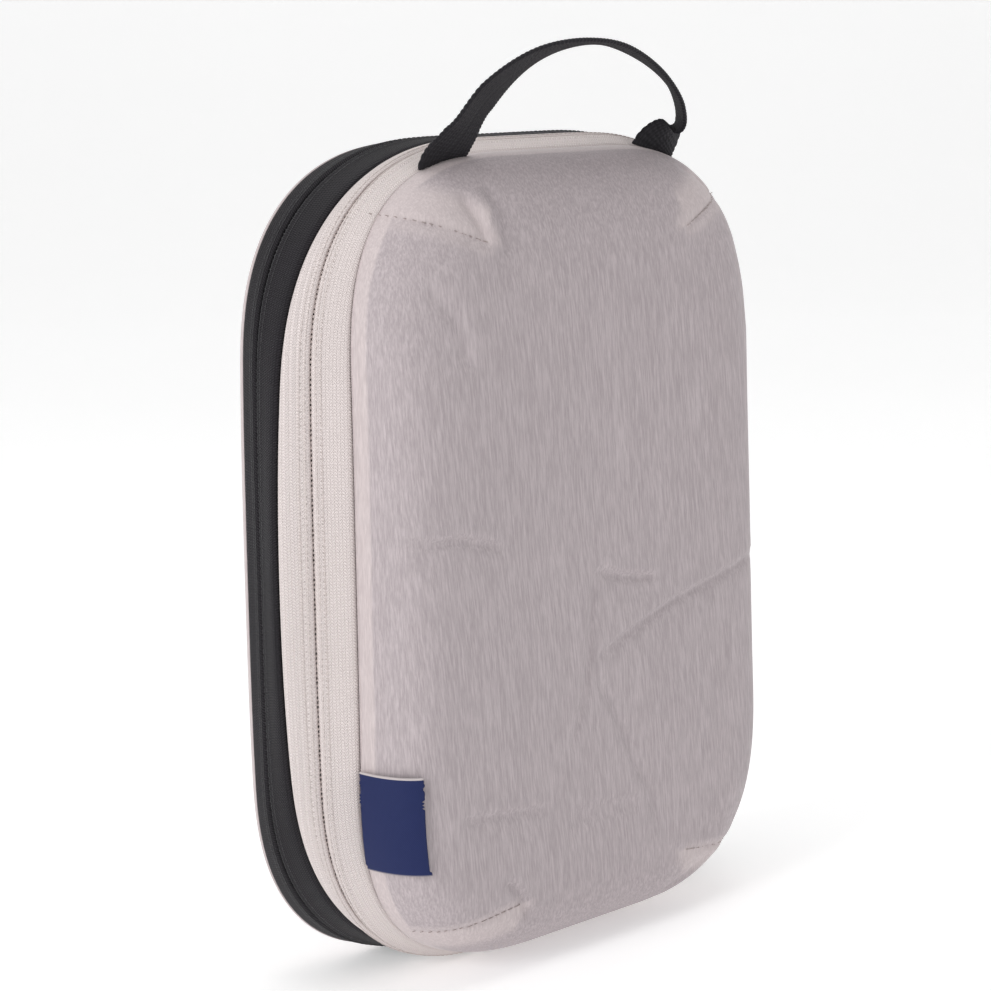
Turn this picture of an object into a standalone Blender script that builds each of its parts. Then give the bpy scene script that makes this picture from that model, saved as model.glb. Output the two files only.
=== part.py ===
"""Packing cube: a soft zipped travel organiser that stands on one short end.

+Z is up, -Y is the front (the lid), +X is the right-hand side. The origin is the middle of the
flat patch that the cube stands on. Metres throughout.

Front to back the pieces are: front panel (lid), white main zip, black compression zip, back
panel. The main zip opens the lid on a fabric hinge at the bottom. The compression zip holds a
folded expansion gusset shut; undone, the back panel moves back by EXPANSION.
"""

import math

import bmesh
import bpy
from mathutils import Matrix, Vector

MM = 0.001
GAP = 0.3 * MM                  # clearance between touching pieces

# --- the shell's driving sizes ---------------------------------------------------------
CORNER_POWER = 2.6              # 2 is a circular corner, larger is squarer

# Lines round the shell, front to back: depth y, half width, extra half width at mid height,
# lowest z and highest z. All but the front seam are pressed flat on the ground.
LINES = [
    (-17.5 * MM, 91.0 * MM, -3.1 * MM, 3.5 * MM, 263.5 * MM),   # front seam
    (-9.0 * MM, 93.0 * MM, 5.1 * MM, 0.0, 266.8 * MM),          # main zip's closure
    (-1.8 * MM, 93.2 * MM, 14.0 * MM, 0.0, 267.6 * MM),         # seam between the zips
    (8.9 * MM, 96.4 * MM, 8.1 * MM, 0.0, 267.5 * MM),           # compression zip's closure
    (17.6 * MM, 98.2 * MM, 5.2 * MM, 0.0, 266.4 * MM),          # back seam
]
# For each line: size of its rounded corners, and how flat its bulge is between them.
CORNERS = [(68 * MM, 4), (71 * MM, 3), (75 * MM, 2.2), (72 * MM, 3.8), (68 * MM, 2.8)]
FRONT_SEAM, MAIN_CLOSURE, MIDDLE_SEAM, BLACK_CLOSURE, BACK_SEAM = range(5)

TAPE = 0.8 * MM                 # zip tape
TAPE_SPAN = 10 * MM             # usual width of tape between two lines
CLOSURE_SLOT = 0.45 * MM        # from a closure line to each tape's edge
COIL_NEAR = 0.6 * MM            # coil row: from the closure line
COIL_FAR = 2.5 * MM
COIL_TOP = TAPE + GAP           # coil row: below the tape's face
COIL_BOTTOM = 2.7 * MM

PANEL = 1.0 * MM                # panel fabric with its seam allowances
PANEL_INSET = 1.3 * MM
FRONT_CROWN = 21.5 * MM         # at mid height; the load sags, so it grows towards the bottom
FRONT_SAG = 1.5 * MM
SHOULDER_POWER = 12             # how boxy the front panel's edge is at mid height
SHOULDER_SAG = 5
BACK_CROWN = 16.0 * MM
PANEL_RINGS = [1, 0.985, 0.955, 0.9, 0.82, 0.7, 0.5, 0.26]   # shares of the way to the seam
EXPANSION = 30 * MM             # travel of the back panel with the compression zip undone

BINDING_START = 1.8 * MM        # binding tape on a seam allowance, standing inwards
BINDING_END = 8.0 * MM
BINDING_NEAR = 1.3 * MM
BINDING_FAR = 2.7 * MM
GUSSET_DEPTH = 20 * MM          # how far the folded gusset reaches in
GUSSET_CLOTH = 1.2 * MM
GUSSET_FOLD = 2.6 * MM          # the cloth's doubled thickness at its fold
GUSSET_RIMS = (3.7 * MM, 6.3 * MM)   # how far in its front and back edges start

HINGE_HALF = 30 * MM            # half width of the fabric hinge at the bottom
STOP_HALF = 6 * MM              # half the gap between the compression coil's two ends
STOP_SIZE = 2.2 * MM
STOP_INSET = 1.6 * MM           # a stop's middle, from the end of its coil rows
STOP_OFFSET = 1.4 * MM          # the main zip's stops sit behind its closure line
MAIN_STOP_RISE = 1.1 * MM       # and above the hinge strip

HANDLE_WIDTH = 19 * MM
HANDLE_THICK = 1.5 * MM
# Middle of the strap from its left end to its right end, in mm, and its twist in degrees.
HANDLE_PATH = [
    (-49.5, -17.5, 261.2, 0), (-46.5, -24.5, 270, 20), (-41, -30.5, 281, 35),
    (-28, -34.5, 290.7, 55), (-9, -35.5, 296, 78), (10, -35, 296.3, 97),
    (32, -31.5, 290, 113), (49, -28, 280.5, 130), (57, -22.5, 270, 143),
    (49.5, -17.5, 261.2, 180),
]
HANDLE_STEPS = 45
HANDLE_EASE = 0.6               # path steps over which the sewn ends turn into the seam

LABEL_HEIGHT = 32 * MM
LABEL_WIDTH = 21 * MM
LABEL_THICK = 0.7 * MM
LABEL_MIDDLE = 58 * MM          # height of its middle
LABEL_CLEAR = 0.9 * MM          # from the panel, where it leaves the seam
LABEL_LIFT = 1.2 * MM           # further off the panel at its free edge
LABEL_REACH = 26 * MM           # how far in from the seam its path is worked out
LABEL_STEPS = 160

SLIDER_HALF = 4.2 * MM          # half width of a slider's plate
SLIDER_LENGTH = 9.5 * MM
PLATE = 1.0 * MM
PLATE_CLEAR = 0.7 * MM          # under a slider's top plate
UNDER_CLEAR = 0.7 * MM          # over its lower plate
NECK = 0.5 * MM                 # wide, and twice NECK_HALF long
NECK_HALF = 1.6 * MM
UNDER_WIDTH, UNDER_LENGTH = 0.9, 0.8    # lower plate, as shares of the top plate's
SHOULDER_CUT = 0.9 * MM
CROWN_WIDTH = 2.2 * MM
CROWN_BAR = 0.9 * MM
CROWN_HALF = 3.4 * MM
CROWN_RISE = 3.6 * MM
CROWN_GAP = 0.1 * MM            # from the top plate to the crown's feet
CROWN_CUT, CROWN_INNER_CUT = 1.2 * MM, 0.6 * MM
PULL_SEAT = 1.35 * MM           # height of the pull's middle over the crown's feet
PULL_CORNER, EYE_CORNER = 1.4 * MM, 0.7 * MM
PULL_LENGTH = 27 * MM
PULL_HALF = 3.5 * MM
PULL_THICK = 1.2 * MM
PULL_BAR = 1.5 * MM
EYE_HALF = 1.8 * MM
EYE_LENGTH = 5.8 * MM
MAIN_SLIDER = 84 * MM           # heights of the closed sliders on the right-hand side
BLACK_SLIDER = 88 * MM
SLIDER_FIT = -0.62              # station up the side, -1 low to 1 high, that they are set to

CORNER_STEPS = 10
SIDE_STEPS = 8
END_STEPS = 6

COLOURS = {
    "panel_fabric": ((0.42, 0.36, 0.38), 0.75, 0.0),
    "white_tape": ((0.70, 0.62, 0.60), 0.8, 0.0),
    "black_tape": ((0.03, 0.028, 0.034), 0.8, 0.0),
    "white_coil": ((0.62, 0.55, 0.53), 0.45, 0.0),
    "black_coil": ((0.02, 0.02, 0.022), 0.4, 0.0),
    "lining_tape": ((0.55, 0.49, 0.49), 0.8, 0.0),
    "webbing": ((0.018, 0.017, 0.02), 0.85, 0.0),
    "label": ((0.02, 0.03, 0.13), 0.6, 0.0),
    "slider_metal": ((0.05, 0.05, 0.055), 0.4, 0.9),
}


def clear_scene():
    for thing in list(bpy.data.objects):
        bpy.data.objects.remove(thing, do_unlink=True)


clear_scene()
PARTS = bpy.data.collections.new("packing_cube")
bpy.context.scene.collection.children.link(PARTS)


def material(name):
    found = bpy.data.materials.get(name)
    if found:
        return found
    colour, rough, metal = COLOURS[name]
    made = bpy.data.materials.new(name)
    made.use_nodes = True
    shader = made.node_tree.nodes["Principled BSDF"]
    shader.inputs["Base Color"].default_value = (*colour, 1)
    shader.inputs["Roughness"].default_value = rough
    shader.inputs["Metallic"].default_value = metal
    return made


def add_object(name, mesh, slot, parent=None):
    thing = bpy.data.objects.new(name, mesh)
    PARTS.objects.link(thing)
    mesh.materials.append(material(slot))
    if parent:
        thing.parent = parent
        thing.matrix_parent_inverse = parent.matrix_world.inverted()
    return thing


def add_pivot(name, place):
    pivot = bpy.data.objects.new(name, None)
    PARTS.objects.link(pivot)
    pivot.location = place
    bpy.context.view_layer.update()
    return pivot


def mesh_from(name, build):
    """A mesh from a function that fills a bmesh, with its faces turned outwards."""
    bm = bmesh.new()
    build(bm)
    bmesh.ops.recalc_face_normals(bm, faces=bm.faces)
    mesh = bpy.data.meshes.new(name)
    bm.to_mesh(mesh)
    bm.free()
    return mesh


# --- the shell's surface ------------------------------------------------------------------

def corner_fractions(steps):
    """Points of one rounded corner, from (0, 1) to (1, 0), without the first."""
    points = []
    for step in range(1, steps + 1):
        angle = math.pi / 2 * step / steps
        across = max(math.sin(angle), 0.0) ** (2 / CORNER_POWER)
        up = max(math.cos(angle), 0.0) ** (2 / CORNER_POWER)
        points.append((across, up))
    return points


def make_stations():
    """Places round an outline, from the bottom's middle towards +X and all the way round.

    Each is (x along the straight, x in the corner, z along the straight, z in the corner),
    as signed fractions.
    """
    corner = corner_fractions(CORNER_STEPS)
    half = END_STEPS // 2
    stations = [(step / half, 0, -1, -1) for step in range(half + 1)]
    stations += [(1, across, -1, -up) for across, up in corner]
    stations += [(1, 1, -1 + 2 * step / SIDE_STEPS, 0) for step in range(1, SIDE_STEPS + 1)]
    stations += [(1, up, 1, across) for across, up in corner]
    stations += [(1 - step / half, 0, 1, 1) for step in range(1, half + 1)]
    mirrored = [(-a, -b, c, d) for a, b, c, d in reversed(stations[1:-1])]
    return stations + mirrored


STATIONS = make_stations()
COUNT = len(STATIONS)


def line_point(line, station):
    depth, half, bulge, low, high = LINES[line]
    middle = (low + high) / 2
    rise = (high - low) / 2
    along_x, corner_x, along_z, corner_z = station
    corner, power = CORNERS[line]
    x = (half - corner) * along_x + corner * corner_x
    z = (rise - corner) * along_z + corner * corner_z
    swell = 1 - abs(z / rise) ** power
    x += bulge * swell * x / half
    return Vector((x, depth, middle + z))


def shell_point(k, station):
    """The point and its slope on a smooth curve through the lines; k is 0 at the front."""
    places = [line_point(line, station) for line in range(len(LINES))]
    slopes = [places[1] - places[0]]
    slopes += [(places[j + 1] - places[j - 1]) / 2 for j in range(1, len(LINES) - 1)]
    slopes.append(places[-1] - places[-2])
    j = min(int(k), len(LINES) - 2)
    t = k - j
    p0, p1, m0, m1 = places[j], places[j + 1], slopes[j], slopes[j + 1]
    place = (p0 * (2 * t**3 - 3 * t**2 + 1) + m0 * (t**3 - 2 * t**2 + t)
             + p1 * (3 * t**2 - 2 * t**3) + m1 * (t**3 - t**2))
    slope = (p0 * (6 * t**2 - 6 * t) + m0 * (3 * t**2 - 4 * t + 1)
             + p1 * (6 * t - 6 * t**2) + m1 * (3 * t**2 - 2 * t))
    return place, slope


def blend_station(first, second, t):
    return tuple(a + (b - a) * t for a, b in zip(first, second))


def shell_frame(k, station, before, after):
    """Point, unit direction towards the back, and unit outward normal."""
    place, slope = shell_point(k, station)
    across = slope.normalized()
    along = shell_point(k, after)[0] - shell_point(k, before)[0]
    normal = across.cross(along).normalized()
    return place, across, normal


def bottom_station(x):
    """The station on the bottom where the main closure line has this x."""
    for j in range(END_STEPS // 2 + CORNER_STEPS):
        first, second = STATIONS[j], STATIONS[j + 1]
        x0 = line_point(MAIN_CLOSURE, first).x
        x1 = line_point(MAIN_CLOSURE, second).x
        if x0 <= x <= x1:
            return blend_station(first, second, (x - x0) / (x1 - x0))
    raise ValueError("no such place on the bottom")


def mirror_station(station):
    return (-station[0], -station[1], station[2], station[3])


def around_top(half):
    """Stations of an open strip: from +half on the bottom, over the top, to -half."""
    first = bottom_station(half)
    limit = line_point(MAIN_CLOSURE, first).x + 2 * MM
    inner = [s for s in STATIONS
             if abs(line_point(MAIN_CLOSURE, s).x) > limit or s[2] > -1 or s[3] > -0.9]
    return [first, *inner, mirror_station(first)]


def along_bottom(half):
    """Stations of a short strip on the bottom, from -half to +half."""
    end = bottom_station(half)
    limit = half - 2 * MM
    right = [s for s in STATIONS
             if s[2] == -1 and s[3] < -0.9 and 0 < line_point(MAIN_CLOSURE, s).x < limit]
    right.append(end)
    return [mirror_station(s) for s in reversed(right)] + [STATIONS[0]] + right


def loft(bm, sections, closed):
    """Joins equal cross-sections; an open run gets a flat cap at each end."""
    rings = [[bm.verts.new(point) for point in section] for section in sections]
    pairs = list(zip(rings, rings[1:]))
    if closed:
        pairs.append((rings[-1], rings[0]))
    for first, second in pairs:
        size = len(first)
        for j in range(size):
            n = (j + 1) % size
            bm.faces.new((first[j], first[n], second[n], second[j]))
    if not closed:
        bm.faces.new(rings[0])
        bm.faces.new(list(reversed(rings[-1])))


def neighbours(stations, j, closed):
    size = len(stations)
    if closed:
        return stations[(j - 1) % size], stations[(j + 1) % size]
    return stations[max(j - 1, 0)], stations[min(j + 1, size - 1)]


def strip_mesh(name, stations, closed, edges, depths, columns):
    """A band of the shell between two edges, each (line position, shift towards the back)."""
    (k0, shift0), (k1, shift1) = edges

    def section(j):
        before, after = neighbours(stations, j, closed)
        outer, inner = [], []
        for column in range(columns + 1):
            share = column / columns
            k = k0 + (k1 - k0) * share
            place, across, normal = shell_frame(k, stations[j], before, after)
            shift = shift0 * (1 - share) + shift1 * share
            place = place + across * shift
            outer.append(place - normal * depths[0])
            inner.append(place - normal * depths[1])
        return outer + inner[::-1]

    sections = [section(j) for j in range(len(stations))]
    return mesh_from(name, lambda bm: loft(bm, sections, closed))


def inset_point(line, stations, j, closed, inset, depth):
    """A point inside a line's own plane, inset from it, and moved back by depth."""
    before, after = neighbours(stations, j, closed)
    along = line_point(line, after) - line_point(line, before)
    inward = Vector((0, 1, 0)).cross(along).normalized()
    place = line_point(line, stations[j]) - inward * inset * inward_sign(line, stations[j], inward)
    place.y += depth
    return place


def inward_sign(line, station, direction):
    """+1 where the direction points out of the outline, -1 where it points in."""
    _, _, _, low, high = LINES[line]
    place = line_point(line, station)
    out = Vector((place.x, 0, place.z - (low + high) / 2))
    return 1 if out.dot(direction) > 0 else -1


def flange_mesh(name, line, profile):
    """A ring inside the shell; its profile is a list of (inset, depth)."""
    sections = [[inset_point(line, STATIONS, j, True, inset, depth) for inset, depth in profile]
                for j in range(COUNT)]
    return mesh_from(name, lambda bm: loft(bm, sections, True))


def tape(name, first, last, shift0, shift1, slot, stations=None):
    run = stations or STATIONS
    mesh = strip_mesh(name, run, stations is None, ((first, shift0), (last, shift1)), (0, TAPE), 2)
    return add_object(name, mesh, slot)


def coil(name, line, side, slot, stations=None):
    """One row of a coil zip under its tape, on the front (-1) or back (1) of a closure."""
    run = stations or STATIONS
    depths = (COIL_TOP, COIL_BOTTOM)
    far = line + side * COIL_FAR / TAPE_SPAN
    edges = ((line, side * COIL_NEAR), (far, 0))
    mesh = strip_mesh(name, run, stations is None, edges, depths, 1)
    return add_object(name, mesh, slot)


def build_zips():
    main_run = around_top(HINGE_HALF + 2 * GAP)
    black_run = around_top(STOP_HALF)
    tape("main_zip_front_tape", FRONT_SEAM, MAIN_CLOSURE, GAP, -CLOSURE_SLOT, "white_tape", main_run)
    tape("main_zip_rear_tape", MAIN_CLOSURE, MIDDLE_SEAM, CLOSURE_SLOT, -GAP / 2, "white_tape",
         main_run)
    coil("main_zip_front_coil", MAIN_CLOSURE, -1, "white_coil", main_run)
    coil("main_zip_rear_coil", MAIN_CLOSURE, 1, "white_coil", main_run)
    tape("compression_zip_front_tape", MIDDLE_SEAM, BLACK_CLOSURE, GAP / 2, -CLOSURE_SLOT,
         "black_tape")
    tape("compression_zip_rear_tape", BLACK_CLOSURE, BACK_SEAM, CLOSURE_SLOT, -GAP, "black_tape")
    coil("compression_zip_front_coil", BLACK_CLOSURE, -1, "black_coil", black_run)
    coil("compression_zip_rear_coil", BLACK_CLOSURE, 1, "black_coil", black_run)
    mesh = strip_mesh("hinge_strip", along_bottom(HINGE_HALF), False,
                      ((FRONT_SEAM, GAP), (MIDDLE_SEAM, -GAP / 2)), (0, TAPE), 4)
    add_object("hinge_strip", mesh, "lining_tape")


def build_end_stops():
    """Small crimps that close off each zip's coil rows on the bottom."""
    main_y = LINES[MAIN_CLOSURE][0] + STOP_OFFSET
    black_y = LINES[BLACK_CLOSURE][0] - (COIL_FAR + COIL_NEAR) / 2
    kinds = [
        ("main_zip", HINGE_HALF, main_y, STOP_SIZE, MAIN_STOP_RISE, "white_coil"),
        ("compression_zip", STOP_HALF, black_y, COIL_FAR - COIL_NEAR, 0.0, "black_coil"),
    ]
    for prefix, half, y, width, rise, slot in kinds:
        for name, side in (("right", 1), ("left", -1)):
            low = COIL_TOP + GAP / 2 + rise
            high = COIL_BOTTOM - GAP / 2 + rise
            x = side * (half - STOP_INSET)
            box = box_mesh(f"{prefix}_end_stop_{name}",
                           (x - STOP_SIZE / 2, y - width / 2, low),
                           (x + STOP_SIZE / 2, y + width / 2, high))
            add_object(box.name, box, slot)


def build_bindings():
    box = [(BINDING_START, BINDING_NEAR), (BINDING_END, BINDING_NEAR),
           (BINDING_END, BINDING_FAR), (BINDING_START, BINDING_FAR)]
    half = (BINDING_FAR - BINDING_NEAR) / 2
    middle_box = [(inset, depth - BINDING_NEAR - half) for inset, depth in box]
    back_box = [(inset, -depth) for inset, depth in box]
    mesh = flange_mesh("front_seam_binding", FRONT_SEAM, box)
    add_object("front_seam_binding", mesh, "lining_tape")
    mesh = flange_mesh("middle_seam_binding", MIDDLE_SEAM, middle_box)
    add_object("middle_seam_binding", mesh, "lining_tape")
    mesh = flange_mesh("back_seam_binding", BACK_SEAM, back_box)
    add_object("back_seam_binding", mesh, "lining_tape")


def build_gusset():
    """The expansion gusset, folded to a V inside the closed compression zip."""
    rim, back_rim = GUSSET_RIMS
    start = (BINDING_FAR - BINDING_NEAR) / 2 + GAP
    end = LINES[BACK_SEAM][0] - LINES[MIDDLE_SEAM][0] - BINDING_FAR - GAP
    middle = (start + end) / 2
    profile = [(rim, start), (GUSSET_DEPTH, middle), (back_rim, end),
               (back_rim, end - GUSSET_CLOTH), (GUSSET_DEPTH - GUSSET_FOLD, middle),
               (rim, start + GUSSET_CLOTH)]
    mesh = flange_mesh("expansion_gusset", MIDDLE_SEAM, profile)
    add_object("expansion_gusset", mesh, "panel_fabric")


def crowned_panel(name, line, side, crown):
    """A fabric panel on a seam line, crowned away from the shell, with Solidify for the cloth."""
    _, _, _, low, high = LINES[line]
    middle = Vector((0, LINES[line][0], (low + high) / 2))

    def build(bm):
        edge = [inset_point(line, STATIONS, j, True, PANEL_INSET, 0) for j in range(COUNT)]
        rings = []
        for share in PANEL_RINGS:
            ring = []
            for place in edge:
                spot = middle + (place - middle) * share
                lift = side * crown(share, spot.z)
                ring.append(bm.verts.new((spot.x, spot.y + lift, spot.z)))
            rings.append(ring)
        centre = bm.verts.new((0, middle.y + side * crown(0, middle.z), middle.z))
        for first, second in zip(rings, rings[1:]):
            for j in range(COUNT):
                n = (j + 1) % COUNT
                bm.faces.new((first[j], first[n], second[n], second[j]))
        last = rings[-1]
        for j in range(COUNT):
            bm.faces.new((last[j], last[(j + 1) % COUNT], centre))

    mesh = mesh_from(name, build)
    panel = add_object(name, mesh, "panel_fabric")
    facing = sum((f.normal.y * f.area for f in mesh.polygons))
    wall = panel.modifiers.new("Solidify", "SOLIDIFY")
    wall.thickness = PANEL
    wall.offset = -1 if facing * side > 0 else 1
    wall.use_even_offset = False
    return panel


def front_crown(share, z):
    """How far the front panel stands out at a share of the way to its edge, at height z."""
    _, _, _, low, high = LINES[FRONT_SEAM]
    down = (low + high - 2 * z) / (high - low)
    power = SHOULDER_POWER + SHOULDER_SAG * down
    return (FRONT_CROWN + FRONT_SAG * down) * math.sqrt(1 - share**power)


def back_crown(share, z):
    return BACK_CROWN * (1 - share**4) ** 0.7


def front_surface(x, z):
    """How far the front panel stands out at (x, z), for what is sewn over it."""
    _, _, _, low, high = LINES[FRONT_SEAM]
    middle = (low + high) / 2
    spot = Vector((x, z - middle))
    edge = [inset_point(FRONT_SEAM, STATIONS, j, True, PANEL_INSET, 0) for j in range(COUNT)]
    flat = [Vector((p.x, p.z - middle)) for p in edge]
    for first, second in zip(flat, flat[1:] + flat[:1]):
        side = second - first
        if first.cross(spot) * spot.cross(second) >= 0 and first.dot(spot) > 0:
            share = side.cross(spot) / side.cross(first)
            return front_crown(min(abs(share), 1), z)
    return 0.0


# --- handle and label -------------------------------------------------------------------

def hermite_path(rows, u):
    """A smooth curve through the rows at u = 0, 1, 2 and so on."""
    last = len(rows) - 1
    j = min(int(u), last - 1)
    t = u - j

    def row(k):
        if k < 0:
            return 2 * rows[0] - rows[1]
        return rows[k] if k <= last else 2 * rows[last] - rows[last - 1]

    first, second = row(j), row(j + 1)
    slope_first, slope_second = (second - row(j - 1)) / 2, (row(j + 2) - first) / 2
    return (first * (2 * t**3 - 3 * t**2 + 1) + slope_first * (t**3 - 2 * t**2 + t)
            + second * (3 * t**2 - 2 * t**3) + slope_second * (t**3 - t**2))


def handle_station(u):
    """Centre, run direction and width direction of the strap, u path steps from its left end."""
    last = len(HANDLE_PATH) - 1
    middles = [Vector(row[:3]) * MM for row in HANDLE_PATH]
    turns = [row[3] for row in HANDLE_PATH]
    step = 0.02
    run = hermite_path(middles, min(u + step, last)) - hermite_path(middles, max(u - step, 0))
    run.normalize()
    back = Vector((0, 1, 0))
    back = (back - run * run.y).normalized()
    turn = math.radians(hermite_path(turns, u))
    width = back.cross(run) * math.cos(turn) + back * math.sin(turn)
    to_end = min(u, last - u)
    if to_end < HANDLE_EASE:
        side = 1 if u < last / 2 else -1
        seam = Vector((1, 0, side * seam_slope(middles[-1].x)))
        width = width.lerp(seam.normalized(), (1 - to_end / HANDLE_EASE) ** 2).normalized()
    return hermite_path(middles, u), run, width


def top_of_seam(x):
    """Height of the front seam at x, on the top."""
    best = min(STATIONS, key=lambda s: abs(line_point(FRONT_SEAM, s).x - x) + (s[2] < 1) * 1.0)
    near = line_point(FRONT_SEAM, best)
    return near.z + seam_slope_at(best) * (near.x - x)


def seam_slope_at(station):
    j = STATIONS.index(station)
    first = line_point(FRONT_SEAM, STATIONS[j - 1])
    second = line_point(FRONT_SEAM, STATIONS[(j + 1) % COUNT])
    return -(second.z - first.z) / (second.x - first.x) if second.x != first.x else 0.0


def seam_slope(x):
    return (top_of_seam(x - 5 * MM) - top_of_seam(x + 5 * MM)) / (10 * MM)


def build_handle():
    sections = []
    for step in range(HANDLE_STEPS + 1):
        middle, run, width = handle_station((len(HANDLE_PATH) - 1) * step / HANDLE_STEPS)
        across = width * HANDLE_WIDTH / 2
        face = run.cross(width).normalized() * HANDLE_THICK / 2
        sections.append([middle - across - face, middle + across - face,
                         middle + across + face, middle - across + face])
    mesh = mesh_from("handle_strap", lambda bm: loft(bm, sections, False))
    pivot = add_pivot("handle_pivot", handle_axis())
    add_object("handle_strap", mesh, "webbing", pivot)


def handle_axis():
    _, depth, height, _ = HANDLE_PATH[0]
    return Vector((0, depth * MM, height * MM))


def label_section(z, columns):
    """The label's cross-section at height z: it follows the panel from the seam inwards."""
    _, half, bulge, _, _ = LINES[FRONT_SEAM]
    face = []
    for step in range(LABEL_STEPS + 1):
        x = -half - bulge + LABEL_REACH * (step / LABEL_STEPS) ** 2
        face.append(Vector((x, front_surface(x, z))))
    face = [p for p, q in zip(face, face[1:]) if q.y > 0]
    walked, inner, outer = 0.0, [], []
    for before, here in zip(face, face[1:]):
        along = here - before
        out = Vector((-along.y, along.x)).normalized()
        share = walked / LABEL_WIDTH
        if share * columns >= len(inner):
            for points, gap in ((inner, 0.0), (outer, LABEL_THICK)):
                spot = before + out * (LABEL_CLEAR + LABEL_LIFT * share + gap)
                points.append(Vector((spot.x, LINES[FRONT_SEAM][0] - max(spot.y, GAP), z)))
        if len(inner) > columns:
            break
        walked += along.length
    return outer + inner[::-1]


def build_label():
    """A folded woven tag sewn into the left of the front seam, lying over the panel."""
    rows, columns = 6, 8
    top = LABEL_MIDDLE + LABEL_HEIGHT / 2
    sections = [label_section(top - LABEL_HEIGHT * row / rows, columns) for row in range(rows + 1)]
    mesh = mesh_from("side_label", lambda bm: loft(bm, sections, False))
    add_object("side_label", mesh, "label")


# --- sliders ------------------------------------------------------------------------------

def slider_frame(line, height):
    """Where a slider sits on the right-hand side: origin, across, outward normal.

    It runs straight up beside a slightly bowed closure, so its x is that of SLIDER_FIT.
    """
    middle = next(s for s in STATIONS if s[0] == 1 and s[1] == 1 and abs(s[2]) < 1e-9)
    before, after = (1, 1, -0.05, 0), (1, 1, 0.05, 0)
    place, across, normal = shell_frame(line, middle, before, after)
    place.x = line_point(line, (1, 1, SLIDER_FIT, 0)).x
    place.z = height
    return place, across, normal


def local_matrix(place, across, normal):
    """Local x runs across the zip, y up the side and z outwards."""
    up = normal.cross(across).normalized()
    return Matrix((
        (across.x, up.x, normal.x, place.x),
        (across.y, up.y, normal.y, place.y),
        (across.z, up.z, normal.z, place.z),
        (0, 0, 0, 1),
    ))


def plate_mesh(name, outlines, low, high):
    """A flat plate between two heights, from 2D outlines, the second one a hole."""
    curve = bpy.data.curves.new(name, "CURVE")
    curve.dimensions = "2D"
    curve.fill_mode = "BOTH"
    curve.extrude = (high - low) / 2
    for points in outlines:
        spline = curve.splines.new("POLY")
        spline.points.add(len(points) - 1)
        for point, (x, y) in zip(spline.points, points):
            point.co = (x, y, 0, 1)
        spline.use_cyclic_u = True
    holder = bpy.data.objects.new(name, curve)
    PARTS.objects.link(holder)
    bpy.context.view_layer.update()
    graph = bpy.context.evaluated_depsgraph_get()
    mesh = bpy.data.meshes.new_from_object(holder.evaluated_get(graph))
    bpy.data.objects.remove(holder)
    bpy.data.curves.remove(curve)
    bm = bmesh.new()
    bm.from_mesh(mesh)
    bmesh.ops.remove_doubles(bm, verts=bm.verts, dist=1e-6)
    bmesh.ops.translate(bm, verts=bm.verts, vec=(0, 0, (low + high) / 2))
    bmesh.ops.recalc_face_normals(bm, faces=bm.faces)
    bm.to_mesh(mesh)
    bm.free()
    return mesh


def rounded_outline(x0, x1, y0, y1, radius, steps=4):
    points = []
    corners = [(x1 - radius, y1 - radius, 0), (x0 + radius, y1 - radius, 90),
               (x0 + radius, y0 + radius, 180), (x1 - radius, y0 + radius, 270)]
    for cx, cy, start in corners:
        for step in range(steps + 1):
            angle = math.radians(start + 90 * step / steps)
            points.append((cx + radius * math.cos(angle), cy + radius * math.sin(angle)))
    return points


def shield_outline(half, length):
    """A slider's top plate: wide shoulders where the rows part, narrower at the other end."""
    narrow = half * 0.72
    end = length / 2
    points = [(half - SHOULDER_CUT, end), (half, end - 1.1 * MM), (half, end * 0.2),
              (narrow, -end * 0.75), (narrow - SHOULDER_CUT, -end)]
    return points + [(-x, y) for x, y in reversed(points)]


def join_meshes(name, base, others, slot):
    """One solid from overlapping meshes, with Boolean unions."""
    body = add_object(name, base, slot)
    for j, mesh in enumerate(others):
        tool = bpy.data.objects.new(f"{name}_tool_{j}", mesh)
        CUTTERS.objects.link(tool)
        tool.hide_render = True
        tool.display_type = "WIRE"
        cut = body.modifiers.new("Union", "BOOLEAN")
        cut.operation = "UNION"
        cut.object = tool
    return body


def box_mesh(name, low, high):
    bm = bmesh.new()
    bmesh.ops.create_cube(bm, size=1)
    size = [h - l for l, h in zip(low, high)]
    bmesh.ops.scale(bm, vec=size, verts=bm.verts)
    bmesh.ops.translate(bm, vec=[(l + h) / 2 for l, h in zip(low, high)], verts=bm.verts)
    mesh = bpy.data.meshes.new(name)
    bm.to_mesh(mesh)
    bm.free()
    return mesh


def slider_body(name, matrix):
    """Top plate over both tapes, neck in the closure, bottom plate behind one coil row."""
    top_low, top_high = PLATE_CLEAR, PLATE_CLEAR + PLATE
    under_high = -COIL_BOTTOM - UNDER_CLEAR
    side = -1 if "main" in name else 1
    outline = shield_outline(SLIDER_HALF, SLIDER_LENGTH)
    top = plate_mesh(name, [outline], top_low, top_high)
    neck = box_mesh(name + "_neck", (-NECK / 2, -NECK_HALF, under_high - PLATE / 2),
                    (NECK / 2, NECK_HALF, top_low + PLATE / 2))
    lows, highs = sorted((side * SLIDER_HALF * UNDER_WIDTH, -side * NECK / 2))
    under = box_mesh(name + "_under", (lows, -SLIDER_LENGTH * UNDER_LENGTH / 2, under_high - PLATE),
                     (highs, SLIDER_LENGTH * UNDER_LENGTH / 2, under_high))
    for mesh in (top, neck, under):
        mesh.transform(matrix)
    return join_meshes(name, top, [neck, under], "slider_metal")


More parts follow.
